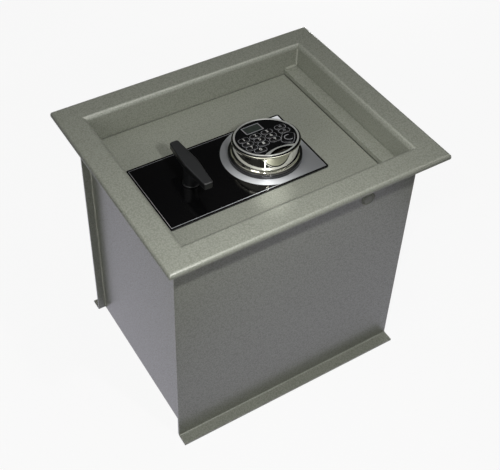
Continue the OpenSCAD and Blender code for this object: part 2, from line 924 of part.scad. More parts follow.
// Points along an arc about a centre, between two directions in degrees
function arc(at, r, from, to, steps) =
    [for (i = [0:steps]) let (a = from + (to - from) * i / steps) at + r * [cos(a), sin(a)]];

// Outline of the handle bar: a round middle and two round ends with straight sides between
module handle_outline() {
    mid_r = handle_mid_w / 2;
    end_r = handle_end_w / 2;
    reach = handle_l / 2 - end_r;
    slope = asin((mid_r - end_r) / reach);
    mid_steps = 4;
    end_steps = 24;
    polygon(concat(
        arc([0, 0], mid_r, -slope, slope, mid_steps),
        arc([0, reach], end_r, slope, 180 - slope, end_steps),
        arc([0, 0], mid_r, 180 - slope, 180 + slope, mid_steps),
        arc([0, -reach], end_r, 180 + slope, 360 - slope, end_steps)));
}

module handle() {
    bar_low = fascia_top + handle_h - handle_t;
    neck_low = stem_low + stem_collar_h - eps;
    color("#1b1c1e") translate([handle_x, row_y, 0]) difference() {
        union() {
            translate([0, 0, bar_low]) linear_extrude(handle_t) handle_outline();
            translate([0, 0, stem_low]) cylinder(r = stem_low_r, h = stem_collar_h);
            translate([0, 0, neck_low])
                cylinder(r1 = stem_low_r - stem_step, r2 = stem_top_r, h = bar_low - neck_low + eps);
        }
        translate([0, 0, stem_low - cut]) cylinder(d = spindle_d, h = spindle_top - stem_low + cut);
        translate([0, 0, grub_z]) rotate([-90, 0, 0]) cylinder(d = grub_d, h = stem_low_r + cut);
    }
}

module handle_grub_screw() {
    socket_d = 2;
    socket_depth = 1.8;
    color("#4a4c50") translate([handle_x, row_y + spindle_d / 2, grub_z])
        rotate([-90, 0, 0]) difference() {
            cylinder(d = grub_d, h = grub_l);
            hex_socket(socket_d, grub_l, socket_depth);
        }
}

module handle_spindle() {
    color("#b5b7b9") translate([handle_x, row_y, spindle_low])
        cylinder(d = spindle_d, h = spindle_top - spindle_low);
}

module spindle_ring() {
    color("#77797c") translate([handle_x, row_y, crank_low - ring_gap - ring_t]) difference() {
        cylinder(r = spindle_d / 2 + 3, h = ring_t);
        drill(spindle_d, 0, ring_t);
    }
}

module crank() {
    arm_w = crank_pin_d + 5;
    hub_h = door_low - bush_flange_t - ring_gap - crank_low;
    color("#8a8d91") translate([handle_x, row_y, crank_low]) difference() {
        union() {
            cylinder(r = crank_hub_r, h = hub_h);
            rotate([0, 0, crank_rest]) {
                translate([0, -arm_w / 2, 0]) cube([crank_r, arm_w, crank_t]);
                translate([crank_r, 0, 0]) cylinder(d = arm_w, h = crank_t);
            }
        }
        drill(spindle_d, 0, hub_h);
        rotate([0, 0, crank_rest]) translate([crank_r, 0, 0]) drill(crank_pin_d, 0, crank_t);
    }
}

module crank_pin() {
    color("#c9cacc") translate([handle_x, row_y, 0]) rotate([0, 0, crank_rest])
        translate([crank_r, 0, spindle_low])
            cylinder(d = crank_pin_d, h = crank_low + crank_t - spindle_low);
}

// A slot with round ends that runs along +X from the first end's centre
module slot_x(d, travel, h) {
    cylinder(d = d, h = h);
    translate([travel, 0, 0]) cylinder(d = d, h = h);
    translate([0, -d / 2, 0]) cube([travel, d, h]);
}

module bolt_carrier() {
    end_margin = 3;
    tab_pass_gap = 1.5;
    y0 = row_y - bolt_pitch - bolt_d / 2 - end_margin;
    y1 = row_y + bolt_pitch + bolt_d / 2 + end_margin;
    pin_x = handle_x + crank_r * sin(crank_rest);
    slot_w = crank_pin_d + 2 * crank_play;
    slot_l = crank_r + crank_pin_d / 2 + 1;
    tab_y0 = lock_y1 + lock_bolt_rest + tab_pass_gap;
    color("#a4a6a9") difference() {
        union() {
            translate([flange_x, y0, carrier_low])
                cube([guide_t, y1 - y0, bolt_z + bolt_d / 2 + carrier_edge - carrier_low]);
            translate([flange_x, y0, carrier_low]) cube([carrier_x1 - flange_x, y1 - y0, carrier_t]);
            translate([carrier_x1 - eps, strap_y, carrier_low])
                cube([tab_x + tab_t - carrier_x1 + eps, strap_w, carrier_t]);
            translate([tab_x, tab_y0, carrier_low])
                cube([tab_t, strap_y + strap_w - tab_y0, lock_bolt_h - 2]);
        }
        translate([0, 0, carrier_low - cut]) {
            translate([handle_x, row_y, 0])
                slot_x(spindle_d + 2 * spindle_play, bolt_throw, carrier_t + 2 * cut);
            translate([pin_x - slot_w / 2, row_y, 0]) cube([slot_w, slot_l, carrier_t + 2 * cut]);
            stud_places() slot_x(stud_d + 2 * stud_fit, bolt_throw, carrier_t + 2 * cut);
        }
        bolt_places() rotate([0, 90, 0]) drill(bolt_screw_d, flange_x, flange_x + guide_t);
    }
}

module locking_bolt(i) {
    nose = 1.5;
    color("#d2d4d6") translate([bolt_tip_x, row_y + i * bolt_pitch, bolt_z]) rotate([0, 90, 0])
        difference() {
            union() {
                cylinder(d1 = bolt_d - 2 * nose, d2 = bolt_d, h = nose + eps);
                translate([0, 0, nose]) cylinder(d = bolt_d, h = bolt_l - nose);
            }
            translate([0, 0, bolt_l - bolt_screw_bite])
                cylinder(d = bolt_screw_d, h = bolt_screw_bite + cut);
        }
}

module bolt_back() {
    locking_bolt(1);
}

module bolt_middle() {
    locking_bolt(0);
}

module bolt_front() {
    locking_bolt(-1);
}

module bolt_screws() {
    head_d = 10;
    head_t = 3.5;
    socket_d = 5;
    socket_depth = 2;
    end_gap = 1;
    shank_l = bolt_screw_bite - end_gap + guide_t;
    color("#9b9da0") bolt_places() translate([flange_x + guide_t - shank_l, 0, 0])
        rotate([0, 90, 0]) difference() {
            union() {
                cylinder(d = bolt_screw_d, h = shank_l + eps);
                translate([0, 0, shank_l]) cylinder(d = head_d, h = head_t);
            }
            hex_socket(socket_d, shank_l + head_t, socket_depth);
        }
}

module lock_bolt() {
    bore_d = 3.6;
    bore_l = 14;
    y0 = lock_y1 + lock_bolt_rest - lock_bolt_l;
    color("#cfae6a") difference() {
        translate([lock_x - lock_bolt_w / 2, y0, lock_bolt_z])
            cube([lock_bolt_w, lock_bolt_l, lock_bolt_h]);
        translate([lock_x, y0 - cut, motor_z])
            rotate([-90, 0, 0]) cylinder(d = bore_d, h = bore_l + cut);
    }
}

module battery_drawer() {
    tray_h = cell_d * 0.55;
    cell_gap = 0.2;
    front_gap = 0.3;
    color("#c3c5c4") difference() {
        on_drawer() union() {
            intersection() {
                housing_tube();
                drawer_prism(drawer_fit);
            }
            translate([-tray_half_w, tray_y0, tray_low]) difference() {
                cube([2 * tray_half_w, tray_y1 - tray_y0, tray_h]);
                translate([tray_wall, cell_y0 - tray_y0 - cell_gap, tray_wall])
                    cube([2 * (tray_half_w - tray_wall), cell_l + 2 * cell_gap, tray_h]);
            }
        }
        above_bezel_seat(front_gap);
    }
}

module battery_cells() {
    cap_d = 3.8;
    cap_h = 1;
    side_gap = 0.05;
    color("#3a6ea5") on_drawer() for (side = [-1, 1])
        translate([side * (cell_d / 2 + side_gap), cell_y0, tray_low + tray_wall + cell_d / 2])
            rotate([-90, 0, 0]) {
                cylinder(d = cell_d, h = cell_l - cap_h);
                translate([0, 0, cell_l - cap_h - eps]) cylinder(d = cap_d, h = cap_h);
            }
}

front_panel();
back_panel();
left_panel();
right_panel();
floor_plate();
left_ledge();
front_ledge();
back_ledge();
hinge_cover_strip();
strip_support_bar();
hinge_pins();
door_plate();
hinge_lugs();
fascia_plate();
handle_bush();
bolt_guide();
carrier_studs();
hard_plate();
lock_case();
lock_cover();
lock_screws();
lock_motor();
cable_tube();
keypad_cable();
keypad_base();
keypad_screws();
keypad_housing();
keypad_bezel();
keypad_face();
key_mat();
circuit_board();
display_window();
handle();
handle_grub_screw();
handle_spindle();
crank();
crank_pin();
spindle_ring();
bolt_carrier();
bolt_back();
bolt_middle();
bolt_front();
bolt_screws();
lock_bolt();
battery_drawer();
battery_cells();
digit_key(1);  // key_1
digit_key(2);  // key_2
digit_key(3);  // key_3
digit_key(4);  // key_4
digit_key(5);  // key_5
digit_key(6);  // key_6
digit_key(7);  // key_7
digit_key(8);  // key_8
digit_key(9);  // key_9
digit_key(0);  // key_0
function_key(0);  // key_upper_function
function_key(1);  // key_lower_function
key_enter();
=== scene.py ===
"""Looks of a floor safe: a folded steel body, a recessed door, a T-handle and a round keypad lock.

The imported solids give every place. Sizes in this file are in millimetres unless a name ends in _m.
"""

from __future__ import annotations

import json
import logging
import math
from dataclasses import dataclass
from enum import Enum
from typing import Any, Callable, Iterable, Sequence

import bmesh
import bpy
from mathutils import Euler, Matrix, Vector

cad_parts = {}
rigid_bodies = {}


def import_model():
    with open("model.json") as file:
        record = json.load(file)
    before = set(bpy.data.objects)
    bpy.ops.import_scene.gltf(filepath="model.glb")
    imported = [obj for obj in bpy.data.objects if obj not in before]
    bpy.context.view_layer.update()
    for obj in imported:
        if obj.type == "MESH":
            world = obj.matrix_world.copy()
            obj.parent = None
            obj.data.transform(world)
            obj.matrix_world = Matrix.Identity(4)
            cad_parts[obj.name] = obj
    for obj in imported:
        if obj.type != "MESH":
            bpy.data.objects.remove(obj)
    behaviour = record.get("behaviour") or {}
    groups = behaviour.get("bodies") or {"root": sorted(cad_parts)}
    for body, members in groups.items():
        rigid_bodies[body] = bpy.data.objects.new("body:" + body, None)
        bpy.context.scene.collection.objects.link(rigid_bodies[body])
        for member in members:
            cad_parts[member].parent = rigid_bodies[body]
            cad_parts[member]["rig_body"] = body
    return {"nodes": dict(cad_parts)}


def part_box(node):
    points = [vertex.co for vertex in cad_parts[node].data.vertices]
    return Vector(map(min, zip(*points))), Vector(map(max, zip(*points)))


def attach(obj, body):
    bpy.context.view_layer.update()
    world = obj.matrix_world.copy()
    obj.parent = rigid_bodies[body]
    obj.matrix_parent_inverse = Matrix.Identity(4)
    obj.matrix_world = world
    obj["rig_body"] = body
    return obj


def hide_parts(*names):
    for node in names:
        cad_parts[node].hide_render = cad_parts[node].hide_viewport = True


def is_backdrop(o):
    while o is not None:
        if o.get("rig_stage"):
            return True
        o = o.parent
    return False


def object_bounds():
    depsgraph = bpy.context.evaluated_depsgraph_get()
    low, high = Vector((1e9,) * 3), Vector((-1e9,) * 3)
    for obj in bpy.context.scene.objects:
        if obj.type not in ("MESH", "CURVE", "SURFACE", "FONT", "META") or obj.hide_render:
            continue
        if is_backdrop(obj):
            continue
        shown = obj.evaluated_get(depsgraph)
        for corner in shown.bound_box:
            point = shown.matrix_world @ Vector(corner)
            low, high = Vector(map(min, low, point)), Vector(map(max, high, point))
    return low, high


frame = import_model()
CAD_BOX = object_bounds()

log = logging.getLogger("floor_safe")

MM = 0.001
# Points nearer than MERGE_M are one, edges that turn by more than CREASE stay crisp, and faces
# that meet at less than FLAT become one.
MERGE_M = 2e-6
CREASE = math.radians(32)
FLAT = math.radians(0.5)
# The sharpest corner that an outline keeps when it grows, and how far past 1 a share may be.
MITRE_COSINE = -0.7
SLACK = 0.01
WHITE = (1.0, 1.0, 1.0, 1.0)
# The kinds of node that are used most, and the materials made so far.
MATH, RANGE, MIX, NOISE = "ShaderNodeMath", "ShaderNodeMapRange", "ShaderNodeMix", "ShaderNodeTexNoise"
MIXED: dict[str, bpy.types.Material] = {}

Point = Vector
Pair = tuple[float, float]
Triple = tuple[float, float, float]
LampRow = tuple[float, float, float, float, float]
Tree = bpy.types.NodeTree
Place = Callable[[Vector], Vector]
Object = bpy.types.Object


# Places and outlines


def span(node: str) -> tuple[Vector, Vector]:
    """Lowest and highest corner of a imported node.

    Args:
        node: the node's name.

    Returns:
        Both corners in millimetres.
    """
    low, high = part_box(node)
    return low / MM, high / MM


def middle(node: str) -> Vector:
    """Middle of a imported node's box, in millimetres."""
    low, high = span(node)
    return (low + high) / 2


def upright(point: Vector) -> Vector:
    """Leaves a point where it is."""
    return point


def ray(turn: float) -> Vector:
    """Unit vector in a direction, given in radians."""
    return Vector((math.cos(turn), math.sin(turn)))


def turns(steps: int) -> list[float]:
    """Evenly spaced directions all round, in radians."""
    return [math.tau * k / steps for k in range(steps)]


def filleted(corners: Iterable[Triple], step_deg: float = 5.0) -> list[Point]:
    """Rounds the corners of a polygon.

    Args:
        corners: x, y and corner radius of each corner, in order.
        step_deg: the turn between two points of an arc.

    Returns:
        The outline's points.
    """
    corners = list(corners)
    outline: list[Point] = []
    for i, (x, y, radius) in enumerate(corners):
        here = Vector((x, y))
        before = (Vector(corners[i - 1][:2]) - here).normalized()
        after = (Vector(corners[(i + 1) % len(corners)][:2]) - here).normalized()
        if radius <= 0:
            outline.append(here)
            continue
        half = before.angle(after) / 2
        centre = here + (before + after).normalized() * (radius / math.sin(half))
        first = here + before * (radius / math.tan(half)) - centre
        last = here + after * (radius / math.tan(half)) - centre
        start = math.atan2(first.y, first.x)
        turn = math.atan2(last.y, last.x) - start
        turn = (turn + math.pi) % (2 * math.pi) - math.pi
        steps = max(2, math.ceil(abs(math.degrees(turn)) / step_deg))
        outline += [centre + ray(start + turn * k / steps) * radius for k in range(steps + 1)]
    return outline


def rounded_box(centre: Sequence[float], size: Sequence[float], radius: float) -> list[Point]:
    """Outline of a rectangle with round corners.

    Args:
        centre: its middle.
        size: its width and depth.
        radius: the radius of its corners.

    Returns:
        The outline's points, counter-clockwise.
    """
    x, y = centre[0], centre[1]
    w, d = size[0] / 2, size[1] / 2
    return filleted(
        [(x - w, y - d, radius), (x + w, y - d, radius), (x + w, y + d, radius), (x - w, y + d, radius)]
    )


def arc(centre: Sequence[float], radius: float, start: float, end: float, steps: int) -> list[Point]:
    """Points along an arc.

    Args:
        centre: the arc's centre.
        radius: its radius.
        start: the first direction, in degrees.
        end: the last direction, in degrees.
        steps: how many chords it has.

    Returns:
        The points, both ends included.
    """
    angles = [math.radians(start + (end - start) * k / steps) for k in range(steps + 1)]
    return [Vector((centre[0] + radius * math.cos(a), centre[1] + radius * math.sin(a))) for a in angles]


def grown(outline: Sequence[Point], by: float) -> list[Point]:
    """Moves a closed counter-clockwise outline outwards.

    Args:
        outline: its points.
        by: the distance; below zero moves it inwards.

    Returns:
        As many points as came in.
    """
    result = []
    for i, here in enumerate(outline):
        ahead = (outline[(i + 1) % len(outline)] - here).normalized()
        behind = (here - outline[i - 1]).normalized()
        normals = Vector((ahead.y, -ahead.x)), Vector((behind.y, -behind.x))
        cosine = max(MITRE_COSINE, normals[0].dot(normals[1]))
        result.append(here + (normals[0] + normals[1]) * (by / (1 + cosine)))
    return result


def uprights(x: float, y: float, low: float, high: float) -> list[list[Vector]]:
    """Four upright lines, at the corners of a rectangle about the middle."""
    return [[Vector((i * x, j * y, z)) for z in (low, high)] for i in (-1, 1) for j in (-1, 1)]


def reach(turn: float, centre: Sequence[float], radius: float, limit: float) -> float:
    """Length of a ray from the origin up to a circle.

    Args:
        turn: the ray's direction, in radians.
        centre: the circle's centre.
        radius: its radius.
        limit: the most that the ray may measure, also where it misses the circle.

    Returns:
        The length.
    """
    target = Vector(centre)
    along = target.dot(ray(turn))
    beside = radius**2 - (target.length_squared - along**2)
    if beside <= 0 or along <= 0:
        return limit
    return min(limit, along - math.sqrt(beside))


def linear(code: str) -> tuple[float, float, float, float]:
    """Turns an sRGB hex colour to linear light.

    Args:
        code: the colour, such as "#8a8c80".

    Returns:
        Red, green, blue and an alpha of one.
    """
    parts = [int(code[i : i + 2], 16) / 255 for i in (1, 3, 5)]
    # The standard curve of sRGB.
    red, green, blue = [p / 12.92 if p <= 0.04045 else ((p + 0.055) / 1.055) ** 2.4 for p in parts]
    return red, green, blue, 1.0


def put(tree: Tree, kind: str, inputs: Any = (), **settings: Any) -> Any:
    """Adds a node with its settings, values and links.

    Args:
        tree: the tree that it joins.
        kind: the node's type.
        inputs: by socket name or number, or in the sockets' order, a value, the socket that feeds
            it, or the node whose first output does.
        settings: the node's own properties.

    Returns:
        The node.
    """
    node = tree.nodes.new(kind)
    for key, value in settings.items():
        setattr(node, key, value)
    for key, value in inputs.items() if isinstance(inputs, dict) else enumerate(inputs):
        if isinstance(value, bpy.types.Node):
            value = value.outputs[0]
        if isinstance(value, bpy.types.NodeSocket):
            tree.links.new(value, node.inputs[key])
        else:
            node.inputs[key].default_value = value
    return node


def emptied(holder: Any) -> Tree:
    """Gives a material or world a tree without nodes.

    Args:
        holder: the material or world.

    Returns:
        The tree.
    """
    holder.use_nodes = True
    holder.node_tree.nodes.clear()
    return holder.node_tree


# Finishes


class Surface(Enum):
    """How a surface was made."""

    HAMMERED = "hammer-finish paint"
    SPRAYED = "sprayed coat"
    POWDERED = "powder coat"
    PLATED = "plated and polished"
    BRUSHED = "brushed in one direction"
    MOULDED = "moulded"
    CAST = "cast"
    ROLLED = "rolled or turned"
    PRINTED = "printed film"


# Hammered paint: how far and how coarsely its dimples wander, how they blend, and their slope.
DIMPLE_DRIFT, DRIFT_SCALE, DIMPLE_BLEND, DIMPLE_SLOPE = 0.0015, 0.8, 0.6, (0.75, 0.1)
# The other surfaces: the part of the noise that shows, and its detail where it is rough or even.
NOISE_SLOPE, ROUGH_DETAIL, EVEN_DETAIL = (0.25, 0.75), 6.0, 2.0
# How far a brushed or drawn grain is stretched, and the roughness that no finish goes under.
STREAK, MIRROR = 0.03, 0.02


@dataclass(frozen=True)
class Finish:
    """A material, named for what the real one is.

    Attributes:
        name: the material's common name.
        slot: the record's slot that it stands for.
        surface: how it was made.
        colour: its colour, sRGB.
        shade: the colour in its hollows or streaks, sRGB.
        metallic: 1 for bare metal.
        roughness: from 0, a mirror, to 1.
        swing: how far the roughness varies over the surface.
        grain: the size of its pattern.
        relief: the height of its pattern.
        ior: index of refraction of what isn't metal.
        coat: weight of a clear layer on top.
        coat_rough: roughness of that layer.
    """

    name: str
    slot: str
    surface: Surface
    colour: str
    shade: str
    metallic: float
    roughness: float
    swing: float
    grain: float
    relief: float
    ior: float = 1.5
    coat: float = 0.0
    coat_rough: float = 0.24

    def pattern(self, tree: Tree, where: Any) -> Any:
        """Draws the surface's height, from 0 to 1.

        Args:
            tree: the material's tree.
            where: the socket with object coordinates.

        Returns:
            The node that gives the height.
        """
        scale = 1 / (self.grain * MM)
        if self.surface is Surface.HAMMERED:
            wander = {"Vector": where, "Scale": scale * DRIFT_SCALE, "Detail": EVEN_DETAIL}
            drift = put(tree, NOISE, wander).outputs["Color"]
            moved = put(tree, MIX, {0: DIMPLE_DRIFT, 4: where, 5: drift}, data_type="VECTOR").outputs[1]
            cells = {"Vector": moved, "Scale": scale, "Smoothness": DIMPLE_BLEND}
            dimples = put(tree, "ShaderNodeTexVoronoi", cells, feature="SMOOTH_F1")
            return put(tree, RANGE, (dimples.outputs["Distance"], *DIMPLE_SLOPE))
        if self.surface is Surface.BRUSHED:
            drawn = {"Vector": where, "Scale": (STREAK, 1.0, 1.0)}
            where = put(tree, "ShaderNodeMapping", drawn).outputs[0]
        detail = ROUGH_DETAIL if self.surface in (Surface.CAST, Surface.ROLLED) else EVEN_DETAIL
        noise = put(tree, NOISE, {"Vector": where, "Scale": scale, "Detail": detail})
        return put(tree, RANGE, (noise.outputs["Fac"], *NOISE_SLOPE))

    def dress(self, shader: Any, tree: Tree, where: Any) -> None:
        """Adds what one finish alone has; the plain finishes add nothing."""

    def material(self) -> bpy.types.Material:
        """Builds the material, or finds the one built before.

        Returns:
            The material.
        """
        if self.name in MIXED:
            return MIXED[self.name]
        material = MIXED[self.name] = bpy.data.materials.new(self.name)
        tree = emptied(material)
        where = put(tree, "ShaderNodeTexCoord").outputs["Object"]
        height = self.pattern(tree, where)
        shades = {0: height, 6: linear(self.shade), 7: linear(self.colour)}
        dull, bright = min(1.0, self.roughness + self.swing), max(MIRROR, self.roughness - self.swing)
        relief = {"Height": height, "Distance": self.relief * MM, "Strength": 1.0}
        look = {
            "Base Color": put(tree, MIX, shades, data_type="RGBA").outputs[2],
            "Metallic": self.metallic,
            "Roughness": put(tree, RANGE, {"Value": height, "To Min": dull, "To Max": bright}),
            "Normal": put(tree, "ShaderNodeBump", relief),
        }
        shader = put(tree, "ShaderNodeBsdfPrincipled", look)
        if self.metallic < 1:
            shader.inputs["IOR"].default_value = self.ior
        if self.coat:
            shader.inputs["Coat Weight"].default_value = self.coat
            shader.inputs["Coat Roughness"].default_value = self.coat_rough
        self.dress(shader, tree, where)
        put(tree, "ShaderNodeOutputMaterial", {"Surface": shader})
        return material


# The numbers of each finish are its metallic, roughness, swing, grain and relief, and where it has
# them its index of refraction and its coat.

# Hammer-finish enamel on sheet steel: its aluminium flake and rounded dimples break every
# highlight into a fine mottle of light and dark spots.
HAMMER_PAINT = Finish(
    "hammer_finish_enamel", "body_paint", Surface.HAMMERED, "#a2a499", "#8a8d81",
    0.12, 0.46, 0.05, 1.7, 0.05, 1.45, 0.5,
)
# The same enamel over a weld, a little duller on its ripples; its colour is lighter than the enamel's, a
# painted highlight for the gloss that catches the light along the beads.
WELD_HIGHLIGHT_ENAMEL = Finish(
    "enamelled_weld", "weld_steel", Surface.CAST, "#b2b4a8", "#96988c", 0.12, 0.48, 0.08, 1.2, 0.08
)
# Black powder coat on a zinc casting: matte, with a fine even orange peel.
POWDER_COAT = Finish(
    "black_powder_coat", "handle_black", Surface.POWDERED, "#121315", "#0d0e0f",
    0.0, 0.36, 0.05, 0.9, 0.03,
)
# Bright chrome plate on a zinc casting: a mirror with hardly any texture.
CHROME = Finish(
    "chrome_plate", "keypad_chrome", Surface.PLATED, "#dddbcd", "#d5d3c4", 1.0, 0.05, 0.01, 14.0, 0.004
)
# Satin chrome: bead-blasted under the plate, so that it is bright but shows no sharp image.
SATIN_CHROME = Finish(
    "satin_chrome_plate", "satin_chrome", Surface.PLATED, "#d2d3cf", "#c6c7c3", 0.5, 0.34, 0.04, 0.5, 0.01
)
# A dark metal lining the finger hollow, its dark colour a painted shade and painted dark reflection, with
# a soft gloss.
HOLLOW_PAINTED_SHADE = Finish(
    "black_nickel", "satin_chrome", Surface.PLATED, "#46443c", "#3a3832", 1.0, 0.22, 0.04, 2.0, 0.006
)
# Gloss polycarbonate film over the keypad's face, printed black from behind.
FACE_FILM = Finish(
    "polycarbonate_film", "face_black", Surface.PRINTED, "#0c0d0e", "#08090a",
    0.0, 0.16, 0.03, 3.0, 0.006, 1.58,
)
# Moulded ABS keys with a fine spark-eroded texture.
KEY_ABS = Finish(
    "black_abs", "key_plastic", Surface.MOULDED, "#0d0e0f", "#090a0b", 0.0, 0.2, 0.05, 0.6, 0.02, 1.53
)
# Gloss ABS of the keypad's foot: the mould was polished, so it mirrors a little.
BLACK_ABS = Finish(
    "gloss_black_abs", "face_black", Surface.MOULDED, "#0d0e0e", "#0a0b0b", 0.0, 0.2, 0.03, 3.0, 0.004
)
# Screen-printing ink: a flat light grey, a little uneven.
PRINT_INK = Finish(
    "screen_print_ink", "face_black", Surface.PRINTED, "#9d9ea1", "#909194", 0.0, 0.55, 0.05, 0.8, 0.004
)
# The figures' ink: the same print, laid thicker and whiter.
FIGURE_INK = Finish(
    "white_figure_ink", "face_black", Surface.PRINTED, "#f0f0ec", "#e6e6e2", 0.0, 0.5, 0.05, 0.8, 0.004
)
# Liquid-crystal display behind clear glass: grey green, with a mirror-smooth front.
DISPLAY_GLASS = Finish(
    "liquid_crystal_glass", "display_glass", Surface.PRINTED, "#3d443f", "#363c38",
    0.0, 0.12, 0.02, 4.0, 0.002, 1.45,
)
# Zinc-plated steel, bright with a faint yellow-blue bloom.
ZINC_STEEL = Finish(
    "zinc_plated_steel", "zinc_steel", Surface.ROLLED, "#b9bbb8", "#9fa1a0", 1.0, 0.33, 0.08, 6.0, 0.01
)
# Turned and ground bar steel, with an oil-dark tone.
BAR_STEEL = Finish(
    "turned_steel", "bolt_steel", Surface.BRUSHED, "#a9abac", "#8b8d8f", 1.0, 0.26, 0.06, 0.4, 0.008
)
# Zinc pressure casting, dull grey with a mottled skin.
ZINC_CASTING = Finish(
    "zinc_die_casting", "zinc_casting", Surface.CAST, "#8f9192", "#777a7b", 0.9, 0.46, 0.08, 2.5, 0.02
)
# Free-cutting brass, turned.
BRASS = Finish("turned_brass", "brass", Surface.ROLLED, "#b8965a", "#9c7c45", 1.0, 0.28, 0.06, 1.0, 0.008)
# Moulded silicone rubber, nearly black and without gloss.
RUBBER = Finish(
    "silicone_rubber", "black_rubber", Surface.MOULDED, "#232527", "#1b1d1f", 0.0, 0.6, 0.05, 0.7, 0.01
)
# Glass-epoxy board under green solder resist.
SOLDER_RESIST = Finish(
    "solder_resist", "board_green", Surface.PRINTED, "#245c38", "#1b4a2c", 0.0, 0.3, 0.05, 1.2, 0.01
)
# Nickel-plated can of a battery cell: bright ends with a fine drawn grain.
CELL_NICKEL = Finish(
    "nickel_plated_can", "cell_wrap", Surface.PLATED, "#c2c0b8", "#adaba3", 1.0, 0.22, 0.05, 2.0, 0.005
)
# Shrink film round a battery cell: smooth and glossy.
CELL_FILM = Finish(
    "shrink_film", "cell_wrap", Surface.PRINTED, "#37689c", "#2d5a8b", 0.0, 0.25, 0.04, 3.0, 0.006
)


@dataclass(frozen=True)
class FasciaPrint(Finish):
    """Gloss black lacquer that leaves bare brushed aluminium round the keypad and a thin line.

    Attributes:
        metal: colour of the bare metal, sRGB.
        middle: the plate's middle, x and y.
        half: half its length and width.
        ring_at: the keypad's axis.
        ring_r: radius of the bare disc round the keypad.
        border: width of the black edge.
        line_in: the thin line's distance from the edge.
        line_w: the thin line's width.
        soft: width of the change between the two.
        brush: scale of the brush marks, finer than a picture shows.
        satin: roughness between and on the brush marks.
        bright: how much of the light the bare metal mirrors.
        spread: how far its gleam is drawn out across the brush marks.
    """

    metal: str = "#c3c5c8"
    middle: Pair = (0.0, 0.0)
    half: Pair = (1.0, 1.0)
    ring_at: Pair = (0.0, 0.0)
    ring_r: float = 55.9
    border: float = 2.4
    line_in: float = 2.5
    line_w: float = 0.6
    soft: float = 0.12
    brush: float = 2500.0
    satin: Pair = (0.38, 0.5)
    bright: float = 0.75
    spread: float = 0.88

    def mask(self, tree: Tree, where: Any, spoke: Any) -> Any:
        """Draws where the metal is bare.

        Args:
            tree: the material's tree.
            where: the socket with object coordinates.
            spoke: the node with the way from the keypad's axis, along the plate.

        Returns:
            The node that gives 1 where the metal is bare.
        """
        axes, depths, soft = put(tree, "ShaderNodeSeparateXYZ", (where,)).outputs, [], self.soft / 2 * MM
        for axis, centre, half in zip(axes, self.middle, self.half):
            off = put(tree, MATH, (axis, centre * MM), operation="SUBTRACT")
            off = put(tree, MATH, (off,), operation="ABSOLUTE")
            depths.append(put(tree, MATH, (half * MM, off), operation="SUBTRACT"))
        edge = put(tree, MATH, depths, operation="MINIMUM")
        radius = put(tree, "ShaderNodeVectorMath", (spoke,), operation="LENGTH").outputs["Value"]
        along = put(tree, "ShaderNodeSeparateXYZ", (spoke,))
        disc, right, left, field, line, gap = (
            put(tree, RANGE, (value, limit * MM - side * soft, limit * MM + side * soft))
            for value, limit, side in (
                (radius, self.ring_r, -1),
                (along, 0.0, 1),
                (along, 0.0, -1),
                (edge, self.border, 1),
                (edge, self.line_in, 1),
                (edge, self.line_in + self.line_w, -1),
            )
        )
        bare = put(tree, MATH, (disc, right), operation="MAXIMUM")
        bare = put(tree, MATH, (bare, field), operation="MULTIPLY")
        line = put(tree, MATH, (line, gap), operation="MULTIPLY")
        line = put(tree, MATH, (line, left), operation="MULTIPLY")
        return put(tree, MATH, (bare, line), operation="MAXIMUM")

    def dress(self, shader: Any, tree: Tree, where: Any) -> None:
        """Lets the bare metal through the lacquer.

        Args:
            shader: the main shader.
            tree: the material's tree.
            where: the socket with object coordinates.
        """
        centre = tuple(c * MM for c in self.ring_at) + (0.0,)
        spoke = put(tree, "ShaderNodeVectorMath", (where, centre), operation="SUBTRACT")
        spoke = put(tree, "ShaderNodeVectorMath", (spoke, (1.0, 1.0, 0.0)), operation="MULTIPLY")
        bare = self.mask(tree, where, spoke)
        lacquer, gloss = (shader.inputs[key].links[0].from_socket for key in ("Base Color", "Roughness"))
        streaks = put(tree, "ShaderNodeMapping", {"Vector": where, "Scale": (1.0, STREAK, 1.0)})
        grain = put(tree, NOISE, {"Vector": streaks, "Scale": self.brush, "Detail": EVEN_DETAIL})
        satin = {"Value": grain.outputs["Fac"], "To Min": self.satin[0], "To Max": self.satin[1]}
        colour = put(tree, MIX, {0: bare, 6: lacquer, 7: linear(self.metal)}, data_type="RGBA")
        turn = {"vector_type": "VECTOR", "convert_from": "OBJECT", "convert_to": "WORLD"}
        found = {
            "Base Color": colour.outputs[2],
            "Roughness": put(tree, MIX, {0: bare, 2: gloss, 3: put(tree, RANGE, satin)}).outputs[0],
            "Metallic": put(tree, MATH, (bare, self.bright), operation="MULTIPLY").outputs[0],
            "Tangent": put(tree, "ShaderNodeVectorTransform", (spoke,), **turn).outputs[0],
        }
        for key, socket in found.items():
            tree.links.new(socket, shader.inputs[key])
        shader.inputs["Anisotropic"].default_value = self.spread


# Workshop


